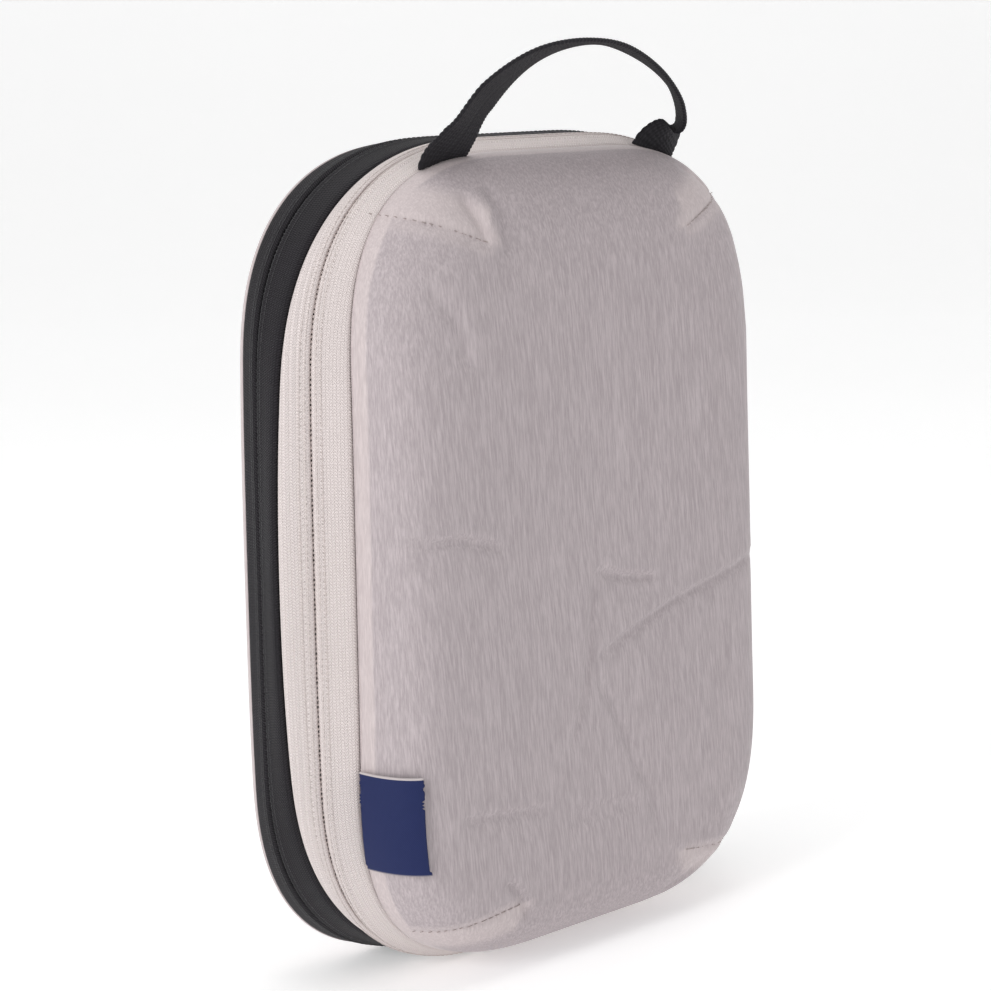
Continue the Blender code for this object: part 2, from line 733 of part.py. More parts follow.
def slider_crown(name, matrix):
    """The loop on the top plate that the pull's eye hangs on."""
    foot = PLATE_CLEAR + PLATE + CROWN_GAP
    high = foot + CROWN_RISE
    inner = CROWN_HALF - CROWN_BAR
    outline = [
        (-CROWN_HALF, foot), (-CROWN_HALF, high - CROWN_CUT), (-CROWN_HALF + CROWN_CUT, high),
        (CROWN_HALF - CROWN_CUT, high), (CROWN_HALF, high - CROWN_CUT), (CROWN_HALF, foot),
        (inner, foot), (inner, high - CROWN_BAR - CROWN_INNER_CUT),
        (inner - CROWN_INNER_CUT, high - CROWN_BAR), (-inner + CROWN_INNER_CUT, high - CROWN_BAR),
        (-inner, high - CROWN_BAR - CROWN_INNER_CUT), (-inner, foot),
    ]
    mesh = plate_mesh(name, [outline], -CROWN_WIDTH / 2, CROWN_WIDTH / 2)
    upright = Matrix(((0, 0, 1, 0), (1, 0, 0, 0), (0, 1, 0, 0), (0, 0, 0, 1)))
    mesh.transform(upright)
    mesh.transform(matrix)
    return add_object(name, mesh, "slider_metal")


def pull_height():
    """Height of the pull's pivot over the tape's face."""
    return PLATE_CLEAR + PLATE + CROWN_GAP + PULL_SEAT


def slider_pull(name, matrix, pivot):
    """A flat pull with an eye round the crown, hanging straight down."""
    top = PULL_BAR / 2
    body = rounded_outline(-PULL_HALF, PULL_HALF, top - PULL_LENGTH, top, PULL_CORNER)
    eye = rounded_outline(-EYE_HALF, EYE_HALF, -top - EYE_LENGTH, -top, EYE_CORNER, 3)
    mesh = plate_mesh(name, [body, eye], -PULL_THICK / 2, PULL_THICK / 2)
    mesh.transform(Matrix.Translation((0, 0, pull_height())))
    mesh.transform(matrix)
    return add_object(name, mesh, "slider_metal", pivot)


def build_slider(prefix, line, height):
    place, across, normal = slider_frame(line, height)
    matrix = local_matrix(place, across, normal)
    travel = add_pivot(prefix + "_travel", place)
    for part in (slider_body(prefix + "_slider", matrix), slider_crown(prefix + "_crown", matrix)):
        part.parent = travel
        part.matrix_parent_inverse = travel.matrix_world.inverted()
    pivot = add_pivot(prefix + "_pull_pivot", matrix @ Vector((0, 0, pull_height())))
    pivot.parent = travel
    pivot.matrix_parent_inverse = travel.matrix_world.inverted()
    bpy.context.view_layer.update()
    slider_pull(prefix + "_pull", matrix, pivot)


CUTTERS = bpy.data.collections.new("union_tools")
bpy.context.scene.collection.children.link(CUTTERS)

crowned_panel("front_panel", FRONT_SEAM, -1, front_crown)
crowned_panel("back_panel", BACK_SEAM, 1, back_crown)
build_zips()
build_end_stops()
build_bindings()
build_gusset()
build_handle()
build_label()
build_slider("main_zip", MAIN_CLOSURE, MAIN_SLIDER)
build_slider("compression_zip", BLACK_CLOSURE, BLACK_SLIDER)

# The lid turns about the front seam on the bottom; the back moves straight back.
LID_PARTS = ["front_panel", "main_zip_front_tape", "main_zip_front_coil", "front_seam_binding",
             "side_label", "handle_pivot", "main_zip_travel"]
BACK_PARTS = ["back_panel", "compression_zip_rear_tape", "compression_zip_rear_coil",
              "back_seam_binding", "compression_zip_travel"]
lid_pivot = add_pivot("lid_pivot", (0, LINES[FRONT_SEAM][0], LINES[FRONT_SEAM][3]))
back_pivot = add_pivot("back_pivot", (0, LINES[BACK_SEAM][0], 0))
for group, owner in ((LID_PARTS, lid_pivot), (BACK_PARTS, back_pivot)):
    for part in group:
        thing = bpy.data.objects[part]
        thing.parent = owner
        thing.matrix_parent_inverse = owner.matrix_world.inverted()
bpy.context.view_layer.update()
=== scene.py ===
import math

import bmesh
import bpy
import numpy as np
from mathutils import Matrix, Vector


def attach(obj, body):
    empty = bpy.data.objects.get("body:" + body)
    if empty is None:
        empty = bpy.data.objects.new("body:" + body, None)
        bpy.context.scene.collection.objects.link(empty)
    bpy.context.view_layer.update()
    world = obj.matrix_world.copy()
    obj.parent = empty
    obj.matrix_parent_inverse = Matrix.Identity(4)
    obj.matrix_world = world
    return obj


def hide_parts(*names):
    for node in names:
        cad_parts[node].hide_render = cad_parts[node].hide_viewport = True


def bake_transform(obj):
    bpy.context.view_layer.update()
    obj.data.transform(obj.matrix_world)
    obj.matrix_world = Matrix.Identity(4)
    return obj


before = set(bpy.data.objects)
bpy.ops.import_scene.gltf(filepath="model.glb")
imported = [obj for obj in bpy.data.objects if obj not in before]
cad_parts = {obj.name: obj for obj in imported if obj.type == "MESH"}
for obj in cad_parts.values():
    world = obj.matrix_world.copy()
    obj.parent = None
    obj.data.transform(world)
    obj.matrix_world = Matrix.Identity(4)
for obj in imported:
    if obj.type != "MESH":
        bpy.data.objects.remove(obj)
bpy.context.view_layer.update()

# --- Shell outline --------------------------------------------------------------------------
# The cube is cut to a rounded outline, and its sides bulge a little when it is filled. Five
# lines run round it, front to back: front seam, main zip, middle seam, compression zip and back
# seam. Everything that is sewn to the shell follows them.

MM = 0.001
CORNER_POWER = 2.6
FRONT_SEAM, MAIN_CLOSURE, MIDDLE_SEAM, BLACK_CLOSURE, BACK_SEAM = range(5)
# depth y, half width, extra half width at mid height, lowest z, highest z
LINES = [
    (-17.5 * MM, 91.0 * MM, -3.1 * MM, 3.5 * MM, 263.5 * MM),
    (-9.0 * MM, 93.0 * MM, 5.1 * MM, 0.0, 266.8 * MM),
    (-1.8 * MM, 93.2 * MM, 14.0 * MM, 0.0, 267.6 * MM),
    (8.9 * MM, 96.4 * MM, 8.1 * MM, 0.0, 267.5 * MM),
    (17.6 * MM, 98.2 * MM, 5.2 * MM, 0.0, 266.4 * MM),
]
# each line's corner size, and how flat its bulge is between the corners
CORNERS = [(68 * MM, 4), (71 * MM, 3), (75 * MM, 2.2), (72 * MM, 3.8), (68 * MM, 2.8)]


def line_points(line, stations):
    """Points of one line at the given stations, as an array of x, y, z."""
    depth, half, swell, low, high = LINES[line]
    corner, power = CORNERS[line]
    rise, middle = (high - low) / 2, (high + low) / 2
    x = (half - corner) * stations[:, 0] + corner * stations[:, 1]
    z = (rise - corner) * stations[:, 2] + corner * stations[:, 3]
    x = x + swell * (1 - np.abs(z / rise) ** power) * x / half
    return np.column_stack([x, np.full(len(x), depth), middle + z])


def whole_outline():
    """Stations right round, from the bottom's middle towards +X, with their arc lengths."""
    def rows(*columns):
        return np.stack(np.broadcast_arrays(*columns), -1)

    angle = np.linspace(0, math.pi / 2, 160)[1:-1]
    out = np.sin(angle) ** (2 / CORNER_POWER)
    up = np.cos(angle) ** (2 / CORNER_POWER)
    straight = np.linspace(0, 1, 50)
    half = np.concatenate([
        rows(straight, 0.0, -1.0, -1.0),
        rows(1.0, out, -1.0, -up),
        rows(1.0, 1.0, 2 * straight - 1, 0.0),
        rows(1.0, up, 1.0, out),
        rows(1 - straight, 0.0, 1.0, 1.0),
    ])
    mirror = half[::-1] * np.array([-1, -1, 1, 1])
    around = np.concatenate([half, mirror[1:]])
    steps = np.linalg.norm(np.diff(line_points(MIDDLE_SEAM, around), axis=0), axis=1)
    return around, np.concatenate([[0], np.cumsum(steps)])


OUTLINE, OUTLINE_ARC = whole_outline()


def cubic(first, second, slope_first, slope_second, t):
    """A point on a smooth curve between two points, t from 0 to 1."""
    return (first * (2 * t**3 - 3 * t**2 + 1) + slope_first * (t**3 - 2 * t**2 + t)
            + second * (3 * t**2 - 2 * t**3) + slope_second * (t**3 - t**2))


class Run:
    """Evenly spaced stations round the shell; gap leaves that half width open at the bottom."""

    def __init__(self, spacing, gap=None):
        total = OUTLINE_ARC[-1]
        self.closed = gap is None
        if self.closed:
            self.arc = np.linspace(0, total, int(total / spacing), endpoint=False)
        else:
            x = line_points(MAIN_CLOSURE, OUTLINE)[:120, 0]
            start = np.interp(gap, x, OUTLINE_ARC[:120])
            self.arc = np.linspace(start, total - start, int((total - 2 * start) / spacing))
        self._place()

    def _place(self):
        self.stations = np.column_stack(
            [np.interp(self.arc, OUTLINE_ARC, OUTLINE[:, j]) for j in range(4)])

    def frame(self, k):
        """Points, directions across towards the back, and outward normals at line position k."""
        places = np.array([line_points(line, self.stations) for line in range(len(LINES))])
        slopes = np.empty_like(places)
        slopes[0] = places[1] - places[0]
        slopes[-1] = places[-1] - places[-2]
        slopes[1:-1] = (places[2:] - places[:-2]) / 2
        j = min(int(k), len(LINES) - 2)
        t = k - j
        p0, p1, m0, m1 = places[j], places[j + 1], slopes[j], slopes[j + 1]
        place = cubic(p0, p1, m0, m1, t)
        slope = (p0 * (6 * t**2 - 6 * t) + m0 * (3 * t**2 - 4 * t + 1)
                 + p1 * (6 * t - 6 * t**2) + m1 * (3 * t**2 - 2 * t))
        across = slope / np.linalg.norm(slope, axis=1)[:, None]
        if self.closed:
            along = np.roll(place, -1, 0) - np.roll(place, 1, 0)
        else:
            along = np.gradient(place, axis=0)
        normal = np.cross(across, along)
        return place, across, normal / np.linalg.norm(normal, axis=1)[:, None]

    def inset(self, line, inset, depth):
        """Points inside a line's own plane, moved in from it and back by depth."""
        place = line_points(line, self.stations)
        if self.closed:
            along = np.roll(place, -1, 0) - np.roll(place, 1, 0)
        else:
            along = np.gradient(place, axis=0)
        inward = np.cross(along, [0, 1, 0])
        inward /= np.linalg.norm(inward, axis=1)[:, None]
        middle = np.array([0, LINES[line][0], (LINES[line][3] + LINES[line][4]) / 2])
        sign = np.sign(np.sum((middle - place) * inward, axis=1))
        return place + inward * (sign * inset)[:, None] + np.array([0, depth, 0])


def placed(name, data):
    """A new object in the scene that carries this data."""
    thing = bpy.data.objects.new(name, data)
    bpy.context.scene.collection.objects.link(thing)
    return thing


def evaluated_mesh(thing):
    graph = bpy.context.evaluated_depsgraph_get()
    return bpy.data.meshes.new_from_object(thing.evaluated_get(graph))


def mend(mesh, merge=0.0, fan=False):
    """Joins points closer than merge, splits caps into fans, and turns faces outwards."""
    bm = bmesh.new()
    bm.from_mesh(mesh)
    if merge:
        bmesh.ops.remove_doubles(bm, verts=bm.verts, dist=merge)
    if fan:
        bmesh.ops.poke(bm, faces=[f for f in bm.faces if len(f.verts) > 4])
    bmesh.ops.recalc_face_normals(bm, faces=bm.faces)
    bm.to_mesh(mesh)
    bm.free()
    mesh.shade_smooth()


def ring_quads(index, closed):
    """Faces between neighbouring rings of point numbers."""
    first, second = (index, np.roll(index, -1, 0)) if closed else (index[:-1], index[1:])
    quads = np.stack([first, np.roll(first, -1, 1), np.roll(second, -1, 1), second], -1)
    return quads.reshape(-1, 4).tolist()


def swept(name, sections, closed, weave=None):
    """A closed skin over equal cross-sections, rings by points by xyz.

    weave gives each vertex its length along and width across, in metres, for woven finishes.
    """
    rings, size = sections.shape[:2]
    index = np.arange(rings * size).reshape(rings, size)
    polygons = ring_quads(index, closed)
    if not closed:
        polygons += [index[0].tolist(), index[-1][::-1].tolist()]
    mesh = bpy.data.meshes.new(name)
    mesh.from_pydata(sections.reshape(-1, 3).tolist(), [], polygons)
    if weave is not None:
        flat = np.concatenate([weave.reshape(-1, 2), np.zeros((rings * size, 1))], 1)
        layer = mesh.attributes.new("weave", "FLOAT_VECTOR", "POINT")
        layer.data.foreach_set("vector", flat.astype(np.float32).ravel())
    mend(mesh)
    return placed(name, mesh)


def fasten(piece, body, node, material):
    """Gives a finished piece its material, its body, and the node that it stands for."""
    if material and not piece.data.materials:
        piece.data.materials.append(material)
    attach(piece, body)
    if node:
        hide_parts(*([node] if isinstance(node, str) else node))
    return piece


# --- Zip tapes --------------------------------------------------------------------------------
# Each zip has two woven polyester tapes, 0.6 mm thick, sewn into the seams on either side. The
# coil is stitched under the tape's edge, which lifts there into a soft ridge. The main zip's
# tapes are off-white in a herringbone weave, the compression zip's are black twill.

TAPE_THICK = 0.6 * MM
HINGE_HALF = 30 * MM
HINGE_GAP = 0.6 * MM            # between the main zip's ends and the hinge strip
TAPE_SPACING = 0.34 * MM
HOLE_ROWS = (1.5 * MM, 2.9 * MM)
HOLE_PITCH = 2.1 * MM
SEAM_GAP = 0.14 * MM
CLOSURE_GAP = 0.2 * MM          # from the closure line to each tape's edge
RIDGE = 0.34 * MM               # how far a tape lifts over its coil
RIDGE_MIDDLE = 1.6 * MM         # the ridge's top, from the closure
RIDGE_WIDTH = 1.5 * MM


def ridge_height(to_edge):
    return RIDGE * np.exp(-((to_edge - RIDGE_MIDDLE) / RIDGE_WIDTH) ** 2)



class Wire:
    """A shader value that does arithmetic: each operator adds a Math node."""

    def __init__(self, finish, socket):
        self.finish = finish
        self.socket = socket

    def out(self, which):
        """Another output of the same node."""
        return Wire(self.finish, self.socket.node.outputs[which])

    def math(self, operation, *values):
        inputs = dict(enumerate((self, *values)))
        return self.finish.node("ShaderNodeMath", {"operation": operation}, inputs)

    def __add__(self, other):
        return self.math("ADD", other)

    def __sub__(self, other):
        return self.math("SUBTRACT", other)

    def __rsub__(self, other):
        inputs = {0: other, 1: self}
        return self.finish.node("ShaderNodeMath", {"operation": "SUBTRACT"}, inputs)

    def __mul__(self, other):
        return self.math("MULTIPLY", other)

    def __truediv__(self, other):
        return self.math("DIVIDE", other)

    __radd__ = __add__
    __rmul__ = __mul__

    def fraction(self):
        return self.math("FRACT")

    def size(self):
        return self.math("ABSOLUTE")

    def between(self, low, high):
        """0 below low, 1 above high, smooth in between; swap the two to turn it round."""
        settings = {"interpolation_type": "SMOOTHSTEP"}
        swap = low > high
        inputs = {"Value": self, "From Min": min(low, high), "From Max": max(low, high),
                  "To Min": 1.0 if swap else 0.0, "To Max": 0.0 if swap else 1.0}
        return self.finish.node("ShaderNodeMapRange", settings, inputs)

    def wave(self, cycles=1.0):
        """A smooth rise and fall between 0 and 1 for each whole step of this value."""
        return (self * (2 * math.pi * cycles)).math("SINE") * 0.5 + 0.5


class Finish:
    """One material: a Principled surface and the nodes that vary it."""

    def __init__(self, name, **constants):
        self.material = bpy.data.materials.new(name)
        self.material.use_nodes = True
        self.tree = self.material.node_tree
        self.surface = self.tree.nodes["Principled BSDF"]
        for socket, value in constants.items():
            self.surface.inputs[socket.replace("_", " ")].default_value = value

    def node(self, kind, settings=None, inputs=None, output=0):
        made = self.tree.nodes.new(kind)
        for key, value in (settings or {}).items():
            setattr(made, key, value)
        for key, value in (inputs or {}).items():
            if isinstance(value, Wire):
                self.tree.links.new(value.socket, made.inputs[key])
            else:
                made.inputs[key].default_value = value
        return Wire(self, made.outputs[output])

    def feed(self, socket, value):
        self.tree.links.new(value.socket, self.surface.inputs[socket])

    def blend(self, factor, first, second):
        """A colour between two, by a factor from 0 to 1."""
        settings = {"data_type": "RGBA"}
        return self.node("ShaderNodeMix", settings, {0: factor, 6: first, 7: second}, output=2)

    def noise(self, vector, scale, detail=3.0, rough=0.5):
        inputs = {"Vector": vector, "Scale": scale, "Detail": detail, "Roughness": rough}
        return self.node("ShaderNodeTexNoise", {}, inputs)

    def bump(self, height, distance, strength=1.0, normal=None):
        inputs = {"Height": height, "Distance": distance, "Strength": strength}
        if normal:
            inputs["Normal"] = normal
        return self.node("ShaderNodeBump", {}, inputs, output="Normal")

    def place(self):
        return self.node("ShaderNodeTexCoord", {}, {}, output="Object")

    def mark(self, name, output="Fac"):
        """A value stored on the piece's points."""
        return self.node("ShaderNodeAttribute", {"attribute_name": name}, {}, output)

    def weave(self):
        """Length along and width across a woven piece, in metres."""
        vector = self.mark("weave", "Vector")
        along = self.node("ShaderNodeSeparateXYZ", {}, {0: vector})
        return along, along.out(1)

    def stretched(self, vector, x, y, z):
        settings = {"operation": "MULTIPLY"}
        return self.node("ShaderNodeVectorMath", settings, {0: vector, 1: (x, y, z)})


def tape_finish(name, light, dark, hole_shade, row, pitch, herringbone):
    """Woven zip tape: slanting yarn floats in rows, two rows of needle punctures beside the coil,
    dented and darkened with painted shade.
    """
    finish = Finish(name, Roughness=0.72, Sheen_Weight=0.06, Specular_IOR_Level=0.25)
    along, across = finish.weave()
    rows = across / row
    inside = rows.fraction()
    if herringbone:
        lean = (rows * 0.5).fraction().between(0.499, 0.501) * 2 - 1
    else:
        lean = 1.0
    floats = (along / pitch + inside * lean * 0.8).wave()
    gutter = (inside * 2 - 1).size().between(1.0, 0.62)
    height = floats * gutter
    fuzz = finish.noise(finish.place(), 900.0, 2.0)
    patch = finish.noise(finish.place(), 35.0, 3.0)
    tone = height * 0.62 + fuzz * 0.22 + patch * 0.16
    cloth = finish.blend(tone, dark, light)
    step = ((along / HOLE_PITCH).fraction() - 0.5) * (HOLE_PITCH / MM)
    hole_dents_and_shade = None
    for place in HOLE_ROWS:
        off = (across.size() - place) / MM
        spot = (step * step + off * off).between(0.085, 0.02)
        hole_dents_and_shade = spot if hole_dents_and_shade is None else hole_dents_and_shade.math("MAXIMUM", spot)
    # base colour: the needle-puncture mask blends in a dark colour, which is painted shade in the
    # dents
    finish.feed("Base Color", finish.blend(hole_dents_and_shade * 0.3, cloth, hole_shade))
    relief = height - hole_dents_and_shade * 0.6
    finish.feed("Normal", finish.bump(relief, 0.24 * MM, 1.0))
    finish.feed("Roughness", height * -0.12 + 0.82)
    return finish.material


# the third colour of each tape is painted shade for its needle punctures
WHITE_TAPE = tape_finish("white_zip_tape", (0.86, 0.785, 0.77, 1), (0.64, 0.565, 0.55, 1),
                         (0.36, 0.28, 0.25, 1), 1.15 * MM, 0.95 * MM, True)
BLACK_TAPE = tape_finish("black_zip_tape", (0.030, 0.027, 0.032, 1), (0.006, 0.005, 0.007, 1),
                         (0.003, 0.003, 0.003, 1), 1.0 * MM, 0.85 * MM, False)


def zip_tape(name, body, node, material, run, seam, closure):
    """One tape from a seam to a closure: a ridge over the coil, edges turned down."""
    columns = 15
    side = 1 if closure > seam else -1
    share = np.linspace(0, 1, columns)
    wobble = (0.07 * MM * np.sin(run.arc * 2 * math.pi / (0.95 * MM))
              + 0.05 * MM * np.sin(run.arc * 2 * math.pi / (7.3 * MM)))
    outer, inner, weave = [], [], []
    for part in share:
        k = seam + (closure - seam) * part
        place, across, normal = run.frame(k)
        edge, _, _ = run.frame(closure)
        to_edge = np.linalg.norm(edge - place, axis=1)
        span = np.linalg.norm(run.frame(seam)[0] - edge, axis=1)
        to_seam = span - to_edge
        push = side * (SEAM_GAP * (1 - part) - CLOSURE_GAP * part)
        place = place + across * push + across * (side * wobble * part**8)[:, None]
        turned = 0.7 * MM * np.exp(-to_edge / (0.35 * MM))
        tucked = 1.5 * MM * np.exp(-to_seam / (0.5 * MM))
        lift = (ridge_height(to_edge) - turned - tucked)[:, None]
        outer.append(place + normal * lift)
        inner.append(place + normal * (lift - TAPE_THICK))
        weave.append(np.stack([run.arc, to_edge], -1))
    keep = [0, 4, 9, columns - 1]
    sections = np.stack(outer + [inner[j] for j in reversed(keep)], 1)
    marks = np.stack(weave + [weave[j] for j in reversed(keep)], 1)
    tape = swept(name, sections, run.closed, marks)
    return fasten(tape, body, node, material)


main_run = Run(TAPE_SPACING, HINGE_HALF + HINGE_GAP)
black_run = Run(TAPE_SPACING)
TAPES = [
    ("main_zip", "on_lid", "lid", "front", "white", WHITE_TAPE, main_run, FRONT_SEAM, MAIN_CLOSURE),
    ("main_zip", "on_shell", "shell", "rear", "white", WHITE_TAPE, main_run, MIDDLE_SEAM,
     MAIN_CLOSURE),
    ("compression_zip", "on_shell", "shell", "front", "black", BLACK_TAPE, black_run, MIDDLE_SEAM,
     BLACK_CLOSURE),
    ("compression_zip", "on_back", "back", "rear", "black", BLACK_TAPE, black_run, BACK_SEAM,
     BLACK_CLOSURE),
]
for zipper, where, body, half, colour, material, run, seam, closure in TAPES:
    zip_tape(f"{zipper}_tape_{where}", body, f"{zipper}_{half}_tape", material,
             run, seam, closure)


# --- Coil rows ----------------------------------------------------------------------------------
# A coil zip's teeth are one nylon monofilament wound into flattened loops, sewn under each tape.
# The loops of the two rows lie half a pitch apart, and their heads hook over the middle.

COIL_PITCH = 1.55 * MM
COIL_WIRE = 0.33 * MM
COIL_STOP = 6 * MM              # half the gap in the compression zip's rows, at the bottom


def tube_mesh(name, points, radius, sides):
    """A capped tube along a few points, all in the plane x = 0 or along x."""
    curve = bpy.data.curves.new(name, "CURVE")
    curve.dimensions = "3D"
    curve.bevel_depth = radius
    curve.bevel_resolution = sides
    curve.use_fill_caps = True
    spline = curve.splines.new("POLY")
    spline.points.add(len(points) - 1)
    for spot, point in zip(spline.points, points):
        spot.co = (*point, 1)
    holder = placed(name, curve)
    bpy.context.view_layer.update()
    mesh = evaluated_mesh(holder)
    bpy.data.objects.remove(holder)
    bpy.data.curves.remove(curve)
    mend(mesh, 1e-6)
    return mesh


def row_tree():
    """Copies of one small piece along a path, upright to the shell, with a little jitter."""
    tree = bpy.data.node_groups.new("row_along_path", "GeometryNodeTree")
    face = tree.interface
    given_sockets = [("Path", "Geometry"), ("Piece", "Object"), ("Pitch", "Float"),
                     ("Jitter", "Float"), ("Finish", "Material")]
    for name, kind in given_sockets:
        face.new_socket(name, in_out="INPUT", socket_type="NodeSocket" + kind)
    face.new_socket("Row", in_out="OUTPUT", socket_type="NodeSocketGeometry")

    def add(kind, settings=None, values=None):
        made = tree.nodes.new(kind)
        for key, value in (settings or {}).items():
            setattr(made, key, value)
        for key, value in (values or {}).items():
            made.inputs[key].default_value = value
        return made

    def link(source, output, target, socket):
        tree.links.new(source.outputs[output], target.inputs[socket])

    given = add("NodeGroupInput")
    path = add("GeometryNodeMeshToCurve")
    spaced = add("GeometryNodeResampleCurve", {"mode": "LENGTH"})
    outward = add("GeometryNodeInputNamedAttribute", {"data_type": "FLOAT_VECTOR"},
                  {"Name": "outward"})
    tangent = add("GeometryNodeInputTangent")
    turn = add("FunctionNodeAxesToRotation", {"primary_axis": "Z", "secondary_axis": "X"})
    piece = add("GeometryNodeObjectInfo")
    spread = add("FunctionNodeRandomValue", {"data_type": "FLOAT_VECTOR"}, {"Seed": 4})
    low = add("ShaderNodeMath", {"operation": "SUBTRACT"}, {0: 1.0})
    high = add("ShaderNodeMath", {"operation": "ADD"}, {0: 1.0})
    copies = add("GeometryNodeInstanceOnPoints")
    real = add("GeometryNodeRealizeInstances")
    painted = add("GeometryNodeSetMaterial")
    made = add("NodeGroupOutput")
    link(given, "Path", path, "Mesh")
    link(path, "Curve", spaced, "Curve")
    link(given, "Pitch", spaced, "Length")
    link(outward, "Attribute", turn, "Primary Axis")
    link(tangent, "Tangent", turn, "Secondary Axis")
    link(given, "Piece", piece, "Object")
    link(given, "Jitter", low, 1)
    link(given, "Jitter", high, 1)
    link(low, 0, spread, "Min")
    link(high, 0, spread, "Max")
    link(spaced, "Curve", copies, "Points")
    link(piece, "Geometry", copies, "Instance")
    link(turn, "Rotation", copies, "Rotation")
    link(spread, "Value", copies, "Scale")
    link(copies, "Instances", real, "Geometry")
    link(real, "Geometry", painted, "Geometry")
    link(given, "Finish", painted, "Material")
    link(painted, "Geometry", made, "Row")
    return tree


ROW_TREE = row_tree()


def row_along(name, paths, piece_mesh, pitch, material, jitter=0.0):
    """Runs the row tree over one or more paths, each (points, outward normals, closed)."""
    verts, edges, normals = [], [], []
    for points, outward, closed in paths:
        base, count = len(verts), len(points)
        verts += points.tolist()
        normals += outward.tolist()
        edges += [(base + j, base + j + 1) for j in range(count - 1)]
        if closed:
            edges.append((base + count - 1, base))
    mesh = bpy.data.meshes.new(name)
    mesh.from_pydata(verts, edges, [])
    layer = mesh.attributes.new("outward", "FLOAT_VECTOR", "POINT")
    layer.data.foreach_set("vector", np.array(normals, np.float32).ravel())
    path = placed(name, mesh)
    piece = placed(name + "_piece", piece_mesh)
    rows = path.modifiers.new("Row", "NODES")
    rows.node_group = ROW_TREE
    given = {"Piece": piece, "Pitch": pitch, "Jitter": jitter, "Finish": material}
    for item in ROW_TREE.interface.items_tree:
        if item.in_out == "INPUT" and item.name in given:
            rows[item.identifier] = given[item.name]
    plain = evaluated_mesh(path)
    path.modifiers.remove(rows)
    bpy.data.objects.remove(path)
    bpy.data.objects.remove(piece)
    plain.name = name
    if "outward" in plain.attributes:
        plain.attributes.remove(plain.attributes["outward"])
    return placed(name, plain)


def nylon_finish(name, colour):
    finish = Finish(name, Roughness=0.38, IOR=1.53)
    mottle = finish.noise(finish.place(), 260.0, 2.0)
    shade = tuple(0.72 * c for c in colour[:3]) + (1,)
    finish.feed("Base Color", finish.blend(mottle, shade, colour))
    finish.feed("Roughness", mottle * 0.2 + 0.3)
    return finish.material


WHITE_NYLON = nylon_finish("white_nylon_coil", (0.62, 0.54, 0.51, 1))
BLACK_NYLON = nylon_finish("black_nylon_coil", (0.022, 0.021, 0.025, 1))


def tooth_mesh(side):
    """One loop of the coil: two legs under the tape and a head that reaches past the middle."""
    reach = [(-2.2, -1.05), (-0.25, -1.0), (0.38, -1.3), (0.42, -1.75), (-0.2, -2.15),
             (-2.2, -2.2)]
    points = [(0, -side * y * MM, z * MM) for y, z in reach]
    return tube_mesh("coil_loop", points, COIL_WIRE, 1)


def coil_row(name, body, node, material, run, closure, side):
    """A row on the front (-1) or back (1) of a closure; rows interlock by half a pitch."""
    place, across, normal = run.frame(closure)
    shift = 0 if side < 0 else 0.5
    steps = max(1, int(round(COIL_PITCH / TAPE_SPACING * shift)))
    place, normal = place[steps:], normal[steps:]
    row = row_along(name, [(place, normal, False)], tooth_mesh(side), COIL_PITCH, material)
    return fasten(row, body, node, None)


coil_run = Run(TAPE_SPACING, COIL_STOP)
NYLON = {"white": WHITE_NYLON, "black": BLACK_NYLON}
for zipper, where, body, half, colour, _, _, _, closure in TAPES:
    run = main_run if colour == "white" else coil_run
    coil_row(f"{zipper}_coil_{where}", body, f"{zipper}_{half}_coil",
             NYLON[colour], run, closure, -1 if half == "front" else 1)


# --- Stitches ---------------------------------------------------------------------------------
# Two rows of lock stitches hold each coil row to its tape. Each stitch is a short bridge of
# polyester thread between two needle holes, drawn a little into the cloth.

THREAD = 0.13 * MM


def stitch_mesh(length, sink=0.22):
    points = [(-0.5, -sink), (-0.42, -0.02), (-0.2, 0.06), (0.2, 0.06), (0.42, -0.02),
              (0.5, -sink)]
    return tube_mesh("stitch", [(x * length, 0, z * MM) for x, z in points], THREAD, 1)


def thread_finish(name, colour):
    finish = Finish(name, Roughness=0.6, Sheen_Weight=0.2)
    twist = finish.noise(finish.place(), 1400.0, 2.0)
    shade = tuple(0.55 * c for c in colour[:3]) + (1,)
    finish.feed("Base Color", finish.blend(twist, shade, colour))
    return finish.material


WHITE_THREAD = thread_finish("white_thread", (0.80, 0.71, 0.68, 1))
BLACK_THREAD = thread_finish("black_thread", (0.03, 0.028, 0.033, 1))


def tape_stitches(name, body, material, run, seam, closure):
    """The two stitch rows beside one coil row, on the tape's ridge."""
    side = 1 if closure > seam else -1
    edge, across, normal = run.frame(closure)
    paths = []
    for off in HOLE_ROWS:
        lift = ridge_height(off)
        span = np.linalg.norm(run.frame(seam)[0] - edge, axis=1).mean()
        place, _, up = run.frame(closure - side * off / span)
        paths.append((place + up * (lift + 0.01 * MM), up, run.closed))
    row = row_along(name, paths, stitch_mesh(HOLE_PITCH * 0.86), HOLE_PITCH, material, 0.12)
    return fasten(row, body, None, None)


THREADS = {"white": WHITE_THREAD, "black": BLACK_THREAD}
for zipper, where, body, _, colour, _, run, seam, closure in TAPES:
    tape_stitches(f"{zipper}_stitches_{where}", body, THREADS[colour], run,
                  seam, closure)


# --- Seam bindings, hinge strip and gusset --------------------------------------------------------
# Inside, each seam allowance is bound with a folded grey tape. The lid hangs on a plain strip of
# the same tape under the bottom. The gusset is a ring of panel fabric folded behind the
# compression zip, which opens out when that zip is undone.

def plain_weave_finish(name, light, dark, pitch):
    finish = Finish(name, Roughness=0.8, Sheen_Weight=0.2, Sheen_Roughness=0.5)
    along, across = finish.weave()
    warp, weft = (across / pitch).wave(), (along / pitch).wave()
    over = warp * weft + (1 - warp) * (1 - weft)
    fleck = finish.noise(finish.place(), 500.0, 2.0)
    finish.feed("Base Color", finish.blend(over * 0.6 + fleck * 0.4, dark, light))
    finish.feed("Normal", finish.bump(over, 0.1 * MM, 0.8))
    return finish.material


